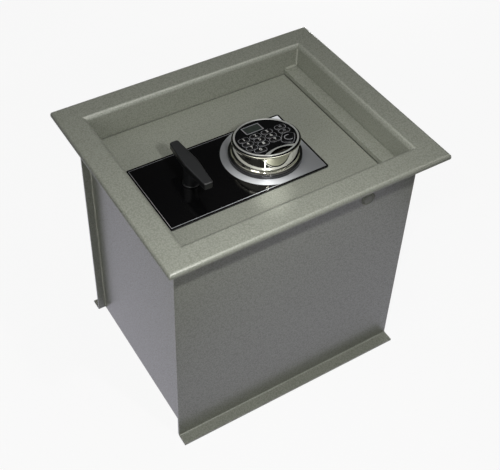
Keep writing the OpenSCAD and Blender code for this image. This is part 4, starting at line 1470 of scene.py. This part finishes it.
@dataclass
class Keypad:
    """The round keypad: base, drum, bezel, face film, keys and display.

    Attributes:
        tilt_deg: how far the face leans, high at the front.
        rise: the face's middle above the door.
        turned_steps: chords round its turned pieces.
        skirt_bore: radius of the base's bore.
        skirt_floor: thickness of the base's floor.
        skirt_edges: rounding of its lower and upper edge.
        cell: the battery cells' section.
        cells_deg: the direction of the battery cells.
        drum_edge: rounding of the drum's edges.
        drum_r: radius of the drum's upright wall.
        flare_out: how far its foot swells.
        flare_h: the height of that swell.
        flare_cuts: how many times the wall is cut there.
        flare_find: what counts as the wall: how far points and faces may lie inside drum_r, and
            how squarely a face has to look outwards.
        bezel_r: outer radius of the bezel's bead.
        ring_r: outer radius of its light top ring.
        bezel_steps: chords round the bezel.
        bezel_t: its thickness.
        bezel_round: rounding of the light ring's outer edge.
        round_steps: chords in that rounding.
        inner_bevel: bevel of its inner edge.
        inner_rim: least width of the light ring inside the hollow.
        bead_r: inner radius of the bead.
        bead_down: the bead's crest under the top.
        bead_foot: bevel of the bead's lower edge.
        bead_belly: height and rounding of its widest part.
        bead_crest: rounding of its crest, outside and inside, as shares of its width.
        groove_down: the groove's floor under the bead's crest.
        groove_top: the upper edge of the groove's wall, black as painted shade, under the top.
        groove_wall: how far that wall stands out of the light ring and reaches into it.
        groove_rounds: rounding of the wall's foot and of its upper edge.
        face_r: radius of the bezel's opening.
        shelf_r: inner radius of the ledge under the face.
        shelf_down: the ledge's depth under the bezel's top.
        sink: the face film's depth under the bezel's top.
        bite_at: centre of the arc that widens the bezel's front.
        bite_r: radius of that arc.
        hollow_at: centre of the arc over the finger hollow.
        hollow_r: radius of that arc.
        hollow_depth: its depth.
        hollow_slope: width of its sloping side.
        hollow_steps: chords across it.
        hollow_over: how far over the bezel's underside its floor, dark with painted shade, may start.
        rim: width of the light ring outside the hollow.
        key_size: width and depth of a digit key.
        key_round: radius of its corners.
        key_top: a key's top over the bezel's top.
        key_low: a key's underside.
        key_edge: rounding of its top rim.
        columns: the columns' places across the face.
        rows: the rows' places up the face.
        zero_at: middle of the zero's key.
        zero_w: its width.
        enter_at: middle of the large key.
        enter_r: its radius.
        enter_rim_r: radius of its edge along the bezel, about the face's middle.
        enter_top: where its top is cut.
        enter_side_at: a point on its straight side.
        enter_side_deg: direction of that side.
        enter_steps: points of its outline.
        enter_smooth: how often the outline is smoothed.
        display_at: middle of the display.
        display_size: its width and depth.
        ink: thickness of the print.
        ink_sunk: how deep the print stands in the face film.
        ink_w: width of the keys' outlines.
        ink_gap: from a key to its outline.
        frame_over: how much larger than the display its frame is.
        frame_round: radius of the frame's corners.
        frame_w: width of the frame's line.
        figure_h: height of a figure.
        font_ratio: a font's size to the height of its figures.
        arc_sweep: radius, first and last direction and chords of the large key's mark.
        arc_w: width of its line.
        dot_sweep: the same of the ring on a function key, short of its closing chord.
        dot_w: width of its line.
    """

    tilt_deg: float = 7.0
    rise: float = 30.6
    turned_steps: int = 192
    skirt_bore: float = 38.5
    skirt_floor: float = 2.0
    skirt_edges: Pair = (0.3, 1.4)
    cell: Cell = Cell()
    cells_deg: float = -100.3
    drum_edge: float = 0.4
    drum_r: float = 41.0
    flare_out: float = 1.7
    flare_h: float = 3.4
    flare_cuts: int = 12
    flare_find: Triple = (0.2, 0.3, 0.7)
    bezel_r: float = 42.8
    ring_r: float = 40.4
    bezel_steps: int = 384
    bezel_t: float = 5.0
    bezel_round: float = 0.5
    round_steps: int = 6
    inner_bevel: float = 0.25
    inner_rim: float = 0.4
    bead_r: float = 41.8
    bead_down: float = 1.9
    bead_foot: float = 0.3
    bead_belly: Pair = (1.6, 1.0)
    bead_crest: Pair = (0.6, 0.3)
    groove_down: float = 0.5
    groove_top: float = 0.6
    groove_wall: Pair = (0.15, 0.2)
    groove_rounds: Pair = (0.2, 0.1)
    face_r: float = 38.1
    shelf_r: float = 36.0
    shelf_down: float = 2.2
    sink: float = 0.6
    bite_at: Pair = (-0.8, -71.4)
    bite_r: float = 44.7
    hollow_at: Pair = (0.0, -55.0)
    hollow_r: float = 25.9
    hollow_depth: float = 4.2
    hollow_slope: float = 1.6
    hollow_steps: int = 20
    hollow_over: float = 0.5
    rim: float = 1.7
    key_size: Pair = (13.0, 7.6)
    key_round: float = 3.4
    key_top: float = 0.4
    key_low: float = -2.9
    key_edge: float = 0.7
    columns: tuple[float, ...] = (-26.4, -9.9, 6.6, 25.8)
    rows: tuple[float, ...] = (8.2, -1.2, -10.5, -19.9)
    zero_at: Pair = (-20.0, -19.9)
    zero_w: float = 14.5
    enter_at: Pair = (21.9, -17.2)
    enter_r: float = 10.8
    enter_rim_r: float = 34.4
    enter_top: float = -7.0
    enter_side_at: Pair = (15.9, -11.8)
    enter_side_deg: float = 51.5
    enter_steps: int = 96
    enter_smooth: int = 2
    display_at: Pair = (-4.8, 23.9)
    display_size: Pair = (21.8, 12.4)
    ink: float = 0.06
    ink_sunk: float = 0.02
    ink_w: float = 0.55
    ink_gap: float = 0.75
    frame_over: float = 1.9
    frame_round: float = 0.8
    frame_w: float = 1.2
    figure_h: float = 4.9
    font_ratio: float = 1.4
    arc_sweep: tuple[float, float, float, int] = (5.2, 60.0, 300.0, 36)
    arc_w: float = 1.1
    dot_sweep: tuple[float, float, float, int] = (1.4, 0.0, 345.0, 23)
    dot_w: float = 0.7

    def __post_init__(self) -> None:
        """Takes the keypad's axis and the door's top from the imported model."""
        self.axis = middle("keypad_base").xy
        self.door_top = span("door_plate")[1].z

    def on_face(self, p: Vector) -> Vector:
        """Puts a point of the tilted face into the frame.

        Args:
            p: across, up the face, and out of it.

        Returns:
            The point in the frame.
        """
        a = math.radians(self.tilt_deg)
        return Vector(
            (
                self.axis.x + p.x,
                self.axis.y + p.y * math.cos(a) + p.z * math.sin(a),
                self.door_top + self.rise - p.y * math.sin(a) + p.z * math.cos(a),
            )
        )

    def off_face(self, p: Vector) -> Triple:
        """Reads a point of the frame in the face's own directions.

        Args:
            p: the point in the frame.

        Returns:
            Across, up the face, and out of it.
        """
        a = math.radians(self.tilt_deg)
        y, z = p.y - self.axis.y, p.z - self.door_top - self.rise
        return p.x - self.axis.x, y * math.cos(a) - z * math.sin(a), y * math.sin(a) + z * math.cos(a)

    def hollow_span(self, turn: float) -> Pair:
        """Where the finger hollow starts and ends in one direction.

        Args:
            turn: the direction, in radians.

        Returns:
            Both radii; they are equal where there is no hollow.
        """
        last = self.ring_r - self.rim
        return reach(turn, self.hollow_at, self.hollow_r, last), last

    def bezel_section(self, turn: float) -> list[Pair]:
        """Section of the bezel in one direction.

        Args:
            turn: the direction, in radians.

        Returns:
            Radius and height over the bezel's top of its points.
        """
        inner = reach(turn, self.bite_at, self.bite_r, self.face_r)
        outer, shelf = self.ring_r - self.bezel_round, min(self.shelf_r, inner)
        first, last = self.hollow_span(turn)
        first = max(first, inner + self.inner_rim)
        last = max(first, last)
        section = [(shelf, -self.bezel_t), (shelf, -self.shelf_down), (inner, -self.shelf_down)]
        section += [(inner, -self.inner_bevel), (inner + self.inner_bevel, 0.0)]
        for i in range(self.hollow_steps + 1):
            r = first + (last - first) * i / self.hollow_steps
            inside = min(1.0, min(r - first, last - r) / self.hollow_slope)
            section.append((r, -self.hollow_depth * math.sin(math.pi / 2 * inside)))
        for i in range(self.round_steps + 1):
            a = math.pi / 2 * i / self.round_steps
            section.append((outer + self.bezel_round * math.sin(a), self.bezel_round * (math.cos(a) - 1)))
        return section + [(self.ring_r, -self.bezel_t)]

    def bezel(self) -> None:
        """Makes the bezel's light ring with its widened front and finger hollow."""
        rings = []
        for turn in turns(self.bezel_steps):
            x, y = math.cos(turn), math.sin(turn)
            rings.append([self.on_face(Vector((r * x, r * y, w))) for r, w in self.bezel_section(turn)])
        ring = Workpiece("bezel_ring").skin(rings, loop=True).made(SATIN_CHROME, "door", "keypad_bezel")
        # The hollow's floor gets the dark finish: painted shade and painted dark reflection.
        ring.data.materials.append(HOLLOW_PAINTED_SHADE.material())
        for face in ring.data.polygons:
            across, up, out = self.off_face(face.center / MM)
            first, last = self.hollow_span(math.atan2(up, across))
            inside = first < math.hypot(across, up) < last
            if inside and face.normal.z > 0 and out > self.hollow_over - self.bezel_t:
                face.material_index = 1

    def bead(self) -> None:
        """Makes the groove, black as a painted shade and painted dark reflection, and the bright bead
        round the light ring.
        """
        low, crest = -self.bezel_t, -self.bead_down
        floor, top = crest - self.groove_down, -self.groove_top
        wall, inside = self.ring_r + self.groove_wall[0], self.ring_r - self.groove_wall[1]
        groove = [
            (self.face_r, low, 0),
            (self.bead_r, low, 0),
            (self.bead_r, floor, 0),
            (wall, floor, self.groove_rounds[0]),
            (wall, top, self.groove_rounds[1]),
            (inside, top, 0),
            (inside, floor, 0),
            (self.face_r, floor, 0),
        ]
        belly, swell = self.bead_belly
        outer, inner = ((self.bezel_r - self.bead_r) * share for share in self.bead_crest)
        bead = [
            (self.bead_r, low, 0),
            (self.bezel_r - self.bead_foot, low, self.bead_foot),
            (self.bezel_r, low + belly, swell),
            (self.bezel_r, crest, outer),
            (self.bead_r, crest, inner),
        ]
        # The groove is black plastic: painted shade and painted dark reflection between the light ring and
        # the bead.
        for name, section, finish in (("bezel_groove", groove, KEY_ABS), ("bezel_bead", bead, CHROME)):
            piece = Workpiece(name).spun(filleted(section), (0, 0), self.on_face, self.turned_steps)
            piece.made(finish, "door")

    def base(self) -> None:
        """Makes the base: a black skirt that the bright drum stands on."""
        low, high = span("keypad_base")
        outer, floor = (high.x - low.x) / 2, low.z + self.skirt_floor
        skirt = [
            (0, low.z, 0),
            (outer, low.z, self.skirt_edges[0]),
            (outer, high.z, self.skirt_edges[1]),
            (self.skirt_bore, high.z, 0),
            (self.skirt_bore, floor, 0),
            (0, floor, 0),
        ]
        piece = Workpiece("base_skirt").spun(filleted(skirt), self.axis, steps=self.turned_steps)
        piece.made(BLACK_ABS, "door", "keypad_base")

    def cells(self) -> None:
        """Makes the two battery cells, each a film sleeve with plated ends and a raised contact."""
        turn = math.radians(self.cells_deg)
        along = Vector((math.cos(turn), math.sin(turn), 0.0))
        beside = Vector((-along.y, along.x, 0.0))
        sleeves, caps = Workpiece("cell_sleeves"), Workpiece("cell_caps")
        for way, (low, high) in zip((1, -1), islands("battery_cells")):
            centre, size = (low + high) / 2, high - low
            radius, half = size.z / 2, (size.y - size.z * abs(along.x)) / abs(along.y) / 2

            def place(p: Vector, centre: Vector = centre, way: int = way) -> Vector:
                """Lays a cell that stands at the origin down in its place."""
                return centre + beside * p.x + Vector((0.0, 0.0, p.y)) + along * (p.z * way)

            sleeves.spun(self.cell.sleeve(radius, half), (0, 0), place, self.cell.steps)
            caps.spun(self.cell.can(radius, half), (0, 0), place, self.cell.steps)
        sleeves.made(CELL_FILM, "battery_drawer", "battery_cells")
        caps.made(CELL_NICKEL, "battery_drawer")

    def flare(self, drum: Object) -> None:
        """Swells a piece of the drum's wall towards its foot.

        Args:
            drum: the piece.
        """
        foot = span("keypad_base")[1].z
        near, deep, square = self.flare_find
        mesh, shape = drum.data, bmesh.new()
        shape.from_mesh(mesh)
        for k in range(1, self.flare_cuts + 1):
            level = (foot + self.flare_h * k / self.flare_cuts) * MM
            parts = shape.verts[:] + shape.edges[:] + shape.faces[:]
            bmesh.ops.bisect_plane(shape, geom=parts, plane_co=(0, 0, level), plane_no=(0, 0, 1))
        for vertex in shape.verts:
            arm = vertex.co.xy / MM - self.axis
            low = 1 - (vertex.co.z / MM - foot) / self.flare_h
            if arm.length > self.drum_r - near and 0 < low <= 1 + SLACK:
                wide = self.axis + arm.normalized() * (self.drum_r + self.flare_out * low**2)
                vertex.co.x, vertex.co.y = wide * MM
        shape.to_mesh(mesh)
        shape.free()
        mesh.shade_smooth()
        mesh.set_sharp_from_angle(angle=CREASE)
        normals = [Vector(corner.vector) for corner in mesh.corner_normals]
        for face in mesh.polygons:
            arm = face.center.xy / MM - self.axis
            if arm.length < self.drum_r - deep or face.normal.xy.dot(arm.normalized()) < square:
                continue
            for loop in face.loop_indices:
                place = mesh.vertices[mesh.loops[loop].vertex_index].co / MM
                spoke = (place.xy - self.axis).normalized()
                low = max(0.0, 1 - (place.z - foot) / self.flare_h)
                slope = 2 * self.flare_out * low / self.flare_h
                normals[loop] = Vector((spoke.x, spoke.y, slope)).normalized()
        mesh.normals_split_custom_set(normals)

    def enter_outline(self) -> list[Point]:
        """Outline of the large key: a disc cut along the rim, at its top and beside the digits.

        Returns:
            Its points, counter-clockwise.
        """
        centre = Vector(self.enter_at)
        lean = math.radians(self.enter_side_deg)
        normal = Vector((-math.sin(lean), math.cos(lean)))
        outline = []
        for way in map(ray, turns(self.enter_steps)):
            along = centre.dot(way)
            rim = -along + math.sqrt(along**2 - centre.length_squared + self.enter_rim_r**2)
            length = min(self.enter_r, rim)
            if way.y > 0:
                length = min(length, (self.enter_top - centre.y) / way.y)
            if way.dot(normal) > 0:
                length = min(length, (Vector(self.enter_side_at) - centre).dot(normal) / way.dot(normal))
            outline.append(centre + way * length)
        return smoothed(outline, self.enter_smooth)

    def key_places(self) -> dict[str, tuple[KeyKind, list[Point], Vector]]:
        """Every key with its kind, its outline and its middle.

        Returns:
            The keys by node name.
        """
        keys: dict[str, tuple[KeyKind, list[Point], Vector]] = {}
        for n in range(1, 10):
            at = Vector((self.columns[(n - 1) % 3], self.rows[(n - 1) // 3]))
            keys[f"key_{n}"] = (KeyKind.DIGIT, rounded_box(at, self.key_size, self.key_round), at)
        at = Vector(self.zero_at)
        size = (self.zero_w, self.key_size[1])
        keys["key_0"] = (KeyKind.DIGIT, rounded_box(at, size, self.key_round), at)
        for node, row in (("key_upper_function", self.rows[0]), ("key_lower_function", self.rows[1])):
            at = Vector((self.columns[3], row))
            keys[node] = (KeyKind.FUNCTION, rounded_box(at, self.key_size, self.key_round), at)
        keys["key_enter"] = (KeyKind.ENTER, self.enter_outline(), Vector(self.enter_at))
        return keys

    def mark(self, name: str, text: str, at: Vector, body: str) -> None:
        """Prints a plain figure on a key.

        Args:
            name: the piece's name.
            text: the figure.
            at: its middle on the face.
            body: the key's body.
        """
        words = bpy.data.curves.new(name, "FONT")
        words.body = text
        words.align_x = words.align_y = "CENTER"
        words.size = self.figure_h * self.font_ratio
        words.extrude = self.ink / 2
        piece = linked(name, words)
        seen = piece.evaluated_get(bpy.context.evaluated_depsgraph_get())
        mesh = bpy.data.meshes.new_from_object(seen)
        bpy.data.objects.remove(piece)
        lift = Vector((at.x, at.y, self.key_top + self.ink / 2))
        for vertex in mesh.vertices:
            vertex.co = self.on_face(lift + vertex.co) * MM
        hang(linked(name, mesh), FIGURE_INK, body)

    def keys(self) -> None:
        """Makes the thirteen keys and their marks."""
        for node, (kind, outline, at) in self.key_places().items():
            label = node.removeprefix("key_")
            piece = Workpiece(f"cap_{label}")
            piece.slab(outline, self.key_low, self.key_top, (0.0, self.key_edge), self.on_face)
            piece.made(KEY_ABS, node, node)
            if kind is KeyKind.DIGIT:
                self.mark(f"figure_{label}", label, at, node)
                continue
            large = kind is KeyKind.ENTER
            sweep, width = (self.arc_sweep, self.arc_w) if large else (self.dot_sweep, self.dot_w)
            low, high = self.key_top, self.key_top + self.ink
            line = Workpiece("enter_arc" if large else f"ring_{label}")
            line.ribbon(arc(at, *sweep), width, low, high, self.on_face, not large)
            line.made(PRINT_INK, node)

    def prints(self) -> None:
        """Prints the light outlines on the face film."""
        low, high = -self.sink - self.ink_sunk, -self.sink + self.ink
        piece = Workpiece("face_outlines")
        for _, outline, _ in self.key_places().values():
            piece.ribbon(grown(outline, self.ink_gap), self.ink_w, low, high, self.on_face, True)
        size = [s + self.frame_over for s in self.display_size]
        frame_line = rounded_box(self.display_at, size, self.frame_round)
        piece.ribbon(frame_line, self.frame_w, low, high, self.on_face, True)
        piece.made(PRINT_INK, "door")

    def build(self) -> None:
        """Makes the keypad."""
        self.bezel()
        self.bead()
        self.keys()
        self.prints()
        self.base()
        for node, name in (("keypad_housing", "drum"), ("battery_drawer", "drawer_front")):
            self.flare(eased(node, self.drum_edge, CHROME, name))
        finishes = {"keypad_face": FACE_FILM, "display_window": DISPLAY_GLASS, "key_mat": RUBBER}
        finishes |= {"circuit_board": SOLDER_RESIST, "keypad_screws": ZINC_STEEL}
        for node, finish in finishes.items():
            dressed(node, finish)
        self.cells()


def smoothed(outline: Sequence[Point], rounds: int) -> list[Point]:
    """Rounds a closed outline's corners a little.

    Args:
        outline: its points.
        rounds: how often each point moves towards its neighbours.

    Returns:
        As many points as came in.
    """
    points = list(outline)
    for _ in range(rounds):
        points = [
            (points[i - 1] + 2 * p + points[(i + 1) % len(points)]) / 4 for i, p in enumerate(points)
        ]
    return points


# Mechanism


@dataclass
class Mechanism:
    """What works under the door: the boltwork and the lock.

    Attributes:
        edge: rounding of machined edges.
        edge_steps: chords in a screw head's rounding.
        bush_edge: rounding of the handle's bush.
        cover_screw: head width and height, shank width, socket width and depth.
        bolt_screw: the same of the screws in the bolts' ends.
        screw_steps: chords round a screw.
        socket_sides: flats of a screw's socket.
        screw_seed: what sets how far each screw is turned.
    """

    edge: float = 0.5
    edge_steps: int = 4
    bush_edge: float = 0.4
    cover_screw: tuple[float, ...] = (9.0, 3.0, 5.0, 4.0, 1.6)
    bolt_screw: tuple[float, ...] = (10.0, 3.5, 6.0, 5.0, 2.0)
    screw_steps: int = 48
    socket_sides: int = 6
    screw_seed: int = 4

    def screw(self, sizes: tuple[float, ...], length: float, name: str) -> Object:
        """Turns one socket-head screw that stands on its shank at the origin.

        Args:
            sizes: its sizes, in the order of cover_screw.
            length: its shank's length.
            name: its name.

        Returns:
            The object.
        """
        head_w, head_t, shank_w, socket_w, socket_d = sizes
        head_r, shank_r, flat = head_w / 2, shank_w / 2, socket_w / 2
        levels = [(shank_r, -length, 0.0), (shank_r, 0.0, 0.0), (head_r, 0.0, 0.0)]
        for k in range(self.edge_steps + 1):
            a = math.pi / 2 * k / self.edge_steps
            inset, drop = self.edge * (1 - math.cos(a)), self.edge * (1 - math.sin(a))
            levels.append((head_r - inset, head_t - drop, 0.0))
        levels += [(0.0, head_t, flat), (0.0, head_t - socket_d, flat)]
        rings, sector = [], math.tau / self.socket_sides
        for radius, z, half in levels:
            ring = []
            for a in turns(self.screw_steps):
                out = half / math.cos((a + sector / 2) % sector - sector / 2) if half else radius
                ring.append(Vector((out * math.cos(a), out * math.sin(a), z)))
            rings.append(ring)
        return meshed(name, Workpiece(name).skin(rings).shape)

    def screws(self, node: str, sizes: tuple[float, ...], lean: Pair, name: str) -> None:
        """Drives socket-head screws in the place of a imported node.

        Args:
            node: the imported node.
            sizes: the sizes of one screw, in the order of cover_screw.
            lean: how far its head turns from upwards, about x and about y.
            name: the new piece's name.
        """
        boxes, head_t = islands(node), sizes[1]
        heading = Euler((*lean, 0.0)).to_matrix() @ Vector((0.0, 0.0, 1.0))
        length = abs((boxes[0][1] - boxes[0][0]).dot(heading)) - head_t
        blank = self.screw(sizes, length, f"{name}_blank")
        seats = [((low + high) / 2 + heading * ((length - head_t) / 2)) * MM for low, high in boxes]
        places = bpy.data.meshes.new(name)
        places.from_pydata(seats, [], [])
        piece = linked(name, places)
        values = {"Screw": blank, "Lean": (*lean, 0.0), "Seed": self.screw_seed}
        values["Finish"] = ZINC_STEEL.material()
        run_tree(piece, bpy.data.node_groups.get("driven_screws") or screw_tree(), values)
        bpy.data.meshes.remove(blank.data)
        hang(piece, ZINC_STEEL, body_of(node), node)

    def build(self) -> None:
        """Makes the mechanism's pieces."""
        bars = ("bolt_back", "bolt_middle", "bolt_front", "lock_bolt", "handle_spindle", "crank_pin")
        plated = ("bolt_carrier", "bolt_guide", "crank", "carrier_studs", "spindle_ring", "cable_tube")
        cast = ("lock_case", "lock_cover", "lock_motor")
        for nodes, finish, kind in (
            (bars, BAR_STEEL, "bar"), (plated, ZINC_STEEL, "part"), (cast, ZINC_CASTING, "part")
        ):
            for node in nodes:
                eased(node, self.edge, finish, f"{node}_{kind}")
        eased("hard_plate", self.edge, BAR_STEEL, "hard_sheet")
        eased("handle_bush", self.bush_edge, BRASS, "brass_bush")
        self.screws("bolt_screws", self.bolt_screw, (0.0, math.pi / 2), "bolt_heads")
        self.screws("lock_screws", self.cover_screw, (math.pi, 0.0), "lock_heads")
        dressed("handle_grub_screw", BAR_STEEL)
        dressed("keypad_cable", RUBBER)


# Studio


@dataclass
class Studio:
    """Camera, lamps, world and floor.

    Attributes:
        target: what the camera looks at.
        distance: from there to the camera.
        azimuth_deg: the camera's place round the object.
        elevation_deg: its height over the horizon.
        roll_deg: its roll.
        lens: focal length.
        shift: how far the frame is off the lens's axis.
        view_end_m: how far the camera sees.
        key_lamp: the small lamp over the flange's front: its place, side and power.
        left_lamp: the same of the soft lamp at the front left.
        top_lamp: the same of the wide soft lamp overhead.
        back_lamp: the same of the soft lamp behind, for the other views.
        glow_lamp: the spotlight that stands for the light off the drum: its place, cone and power.
        glow_at: what it shines on.
        sky: the room's light on surfaces.
        room_hue: the hue of that light.
        gleam: the room's light in mirrors, behind the object and on the camera's side.
        gleam_turn: where it changes, as the cosine from straight towards the camera.
        overhead: what the soft ceiling panel adds to it straight above.
        panel_rise: the height where the panel starts and is full, as the sine over the horizon.
        backdrop: the same of the white backdrop, where it ends and is full.
        floor_half_m: half the floor's width.
        floor_down_m: how far it lies under the feet, so that no faces meet.
        floor_hue: its colour.
        floor_dim: its colour for the light that it throws back.
        floor_white: the share of white in what is seen of it.
        sheet_hue: the hue of the sheet in mirrors.
        sheet_bounce: the share of light that the sheet throws back.
        sheet_x: where the white sheet under the object starts and ends to fade, along x.
        sheet_front: the same along the view, from the object's middle towards the camera.
    """

    target: Triple = (61.36, 136.62, 152.0)
    distance: float = 1404.1
    azimuth_deg: float = -31.767
    elevation_deg: float = 42.849
    roll_deg: float = 1.21
    lens: float = 68.875
    shift: Pair = (0.0407, -0.1197)
    view_end_m: float = 20.0
    key_lamp: LampRow = (-90.0, -340.0, 685.0, 22.0, 1.05)
    left_lamp: LampRow = (-620.0, -360.0, 640.0, 320.0, 1.15)
    top_lamp: LampRow = (60.0, -60.0, 1500.0, 800.0, 3.0)
    back_lamp: LampRow = (900.0, 1000.0, 90.0, 240.0, 5.0)
    glow_lamp: LampRow = (-190.0, -345.0, 620.0, 7.6, 6.5)
    glow_at: Triple = (-8.0, -73.0, 321.0)
    sky: float = 0.07
    room_hue: str = "#f2f2f0"
    gleam: Pair = (0.03, 0.5)
    gleam_turn: Pair = (-0.4, 0.1)
    overhead: float = 2.7
    panel_rise: Pair = (0.72, 0.95)
    backdrop: Pair = (0.12, 0.03)
    floor_half_m: float = 8.0
    floor_down_m: float = 0.0005
    floor_hue: str = "#e9e9e7"
    floor_dim: str = "#7c7c7a"
    floor_white: float = 0.92
    sheet_hue: str = "#f2efff"
    sheet_bounce: float = 0.04
    sheet_x: Pair = (350.0, 410.0)
    sheet_front: Pair = (240.0, 330.0)

    def towards(self) -> Triple:
        """Level direction from the object to the camera."""
        az = math.radians(self.azimuth_deg)
        return math.sin(az), -math.cos(az), 0.0

    def camera(self) -> None:
        """Sets the camera at the photograph's viewing angle."""
        el, roll = math.radians(self.elevation_deg), math.radians(self.roll_deg)
        back = Vector(self.towards()) * math.cos(el) + Vector((0.0, 0.0, math.sin(el)))
        level = Vector((0.0, 0.0, 1.0)).cross(back).normalized()
        steep = back.cross(level)
        right = level * math.cos(roll) + steep * math.sin(roll)
        up = steep * math.cos(roll) - level * math.sin(roll)
        data = bpy.data.cameras.new("view")
        data.lens = self.lens
        data.shift_x, data.shift_y = self.shift
        data.clip_end = self.view_end_m
        camera = linked("view", data)
        turn = Matrix((right, up, back)).transposed().to_4x4()
        camera.matrix_world = Matrix.Translation((Vector(self.target) + back * self.distance) * MM) @ turn
        bpy.context.scene.camera = camera

    def lamp(self, name: str, kind: str, place: Vector, aim: Vector, watts: float, **sizes: float) -> None:
        """Hangs a lamp.

        Args:
            name: the lamp's name.
            kind: its kind.
            place: where it hangs.
            aim: what it shines on.
            watts: its power.
            sizes: what else its kind of lamp has.
        """
        data = bpy.data.lights.new(name, kind)
        data.energy = watts
        for key, value in sizes.items():
            setattr(data, key, value)
        lamp = linked(name, data)
        lamp.location = place * MM
        lamp.rotation_euler = (place - aim).to_track_quat("Z", "Y").to_euler()

    def lamps(self) -> None:
        """Hangs the lamps, and the light that the bright drum throws on what lies before it."""
        centre = (CAD_BOX[0] + CAD_BOX[1]) / 2 / MM
        lamps = {"key_lamp": self.key_lamp, "left_lamp": self.left_lamp}
        lamps |= {"top_lamp": self.top_lamp, "back_lamp": self.back_lamp}
        for name, (*place, side, watts) in lamps.items():
            self.lamp(name, "AREA", Vector(place), centre, watts, size=side * MM)
        *place, cone, watts = self.glow_lamp
        soft = {"spot_blend": 1.0, "shadow_soft_size": self.key_lamp[3] / 2 * MM}
        aim, cone = Vector(self.glow_at), math.radians(cone)
        self.lamp("drum_glow", "SPOT", Vector(place), aim, watts, spot_size=cone, **soft)

    def seen(self, tree: Tree, rays: Any, place: Any) -> tuple[Any, Any]:
        """Draws where white is seen: by the camera everywhere, and in metal and glass in one place.

        Args:
            tree: the tree.
            rays: the sockets that tell the kinds of ray apart.
            place: the node that gives 1 in that place.

        Returns:
            The nodes that give 1 for a mirrored ray, and where white is seen.
        """
        mirror = put(tree, MATH, (rays["Is Glossy Ray"], rays["Is Transmission Ray"]), operation="MAXIMUM")
        placed = put(tree, MATH, (mirror, place), operation="MULTIPLY")
        return mirror, put(tree, MATH, (rays["Is Camera Ray"], placed), operation="MAXIMUM")

    def world(self) -> None:
        """Sets a white backdrop up to a low height all round, under a dim ceiling."""
        world = bpy.data.worlds.new("surround")
        tree = emptied(world)
        rays = put(tree, "ShaderNodeLightPath").outputs
        way = put(tree, "ShaderNodeTexCoord").outputs["Generated"]
        rise = put(tree, "ShaderNodeSeparateXYZ", (way,)).outputs[2]
        facing = put(tree, "ShaderNodeVectorMath", (self.towards(), way), operation="DOT_PRODUCT")
        low, gleam, panel = (
            put(tree, RANGE, values, interpolation_type="SMOOTHSTEP")
            for values in (
                (rise, *self.backdrop),
                (facing.outputs["Value"], *self.gleam_turn, *self.gleam),
                (rise, *self.panel_rise, 0.0, self.overhead),
            )
        )
        mirror, share = self.seen(tree, rays, low)
        bright = put(tree, MATH, (gleam, panel), operation="ADD")
        room = put(tree, MIX, {0: mirror, 2: self.sky, 3: bright})
        dim = put(tree, "ShaderNodeBackground", (linear(self.room_hue), room))
        white = put(tree, "ShaderNodeBackground", (WHITE, 1.0))
        put(tree, "ShaderNodeOutputWorld", (put(tree, "ShaderNodeMixShader", (share, dim, white)),))
        bpy.context.scene.world = world

    def floor(self) -> None:
        """Lays a pale floor that looks white and keeps the object's shadow."""
        material = bpy.data.materials.new("pale_floor")
        tree = emptied(material)
        rays = put(tree, "ShaderNodeLightPath").outputs
        where = put(tree, "ShaderNodeTexCoord").outputs["Object"]
        aside = put(tree, MATH, (put(tree, "ShaderNodeSeparateXYZ", (where,)),), operation="ABSOLUTE")
        ahead = put(tree, "ShaderNodeVectorMath", (self.towards(), where), operation="DOT_PRODUCT")
        fades = (aside, self.sheet_x), (ahead.outputs["Value"], self.sheet_front)
        fades = [
            put(tree, RANGE, (reached, far * MM, near * MM), interpolation_type="SMOOTHSTEP")
            for reached, (near, far) in fades
        ]
        sheet = put(tree, MATH, fades, operation="MULTIPLY")
        _, share = self.seen(tree, rays, sheet)
        share = put(tree, MATH, (share, self.floor_white), operation="MULTIPLY")
        thrown = put(tree, MATH, (rays["Is Diffuse Ray"], sheet), operation="MULTIPLY")
        thrown = put(tree, MATH, (thrown, self.sheet_bounce), operation="MULTIPLY")
        share = put(tree, MATH, (share, thrown), operation="MAXIMUM")
        pale, hue = (
            put(tree, MIX, {0: rays[ray], 6: here, 7: there}, data_type="RGBA").outputs[2]
            for ray, here, there in (
                ("Is Diffuse Ray", linear(self.floor_hue), linear(self.floor_dim)),
                ("Is Camera Ray", linear(self.sheet_hue), WHITE),
            )
        )
        matte = put(tree, "ShaderNodeBsdfDiffuse", (pale,))
        white = put(tree, "ShaderNodeEmission", (hue, 1.0))
        mix = put(tree, "ShaderNodeMixShader", (share, matte, white))
        put(tree, "ShaderNodeOutputMaterial", (mix,))
        mesh = bpy.data.meshes.new("floor")
        far, down = self.floor_half_m, -self.floor_down_m
        corners = [(-far, -far, down), (far, -far, down), (far, far, down), (-far, far, down)]
        mesh.from_pydata(corners, [], [(0, 1, 2, 3)])
        mesh.materials.append(material)
        linked("floor", mesh)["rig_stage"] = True

    def build(self) -> None:
        """Sets up the studio."""
        bpy.context.scene.view_settings.view_transform = "Standard"
        self.camera()
        self.lamps()
        self.world()
        self.floor()


def write_sizes() -> None:
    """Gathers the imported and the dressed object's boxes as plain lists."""
    boxes = {"cad": CAD_BOX, "visual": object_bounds()}
    plain = {name: [[float(c) for c in corner] for corner in box] for name, box in boxes.items()}


def main() -> None:
    """Builds the safe piece by piece, then the studio."""
    logging.basicConfig(level=logging.INFO, format="%(name)s: %(message)s")
    body = FoldedBody()
    body.build()
    Welds().build(body)
    Door().build()
    Handle().build()
    Keypad().build()
    Mechanism().build()
    Studio().build()
    write_sizes()


if __name__ == "__main__":
    main()
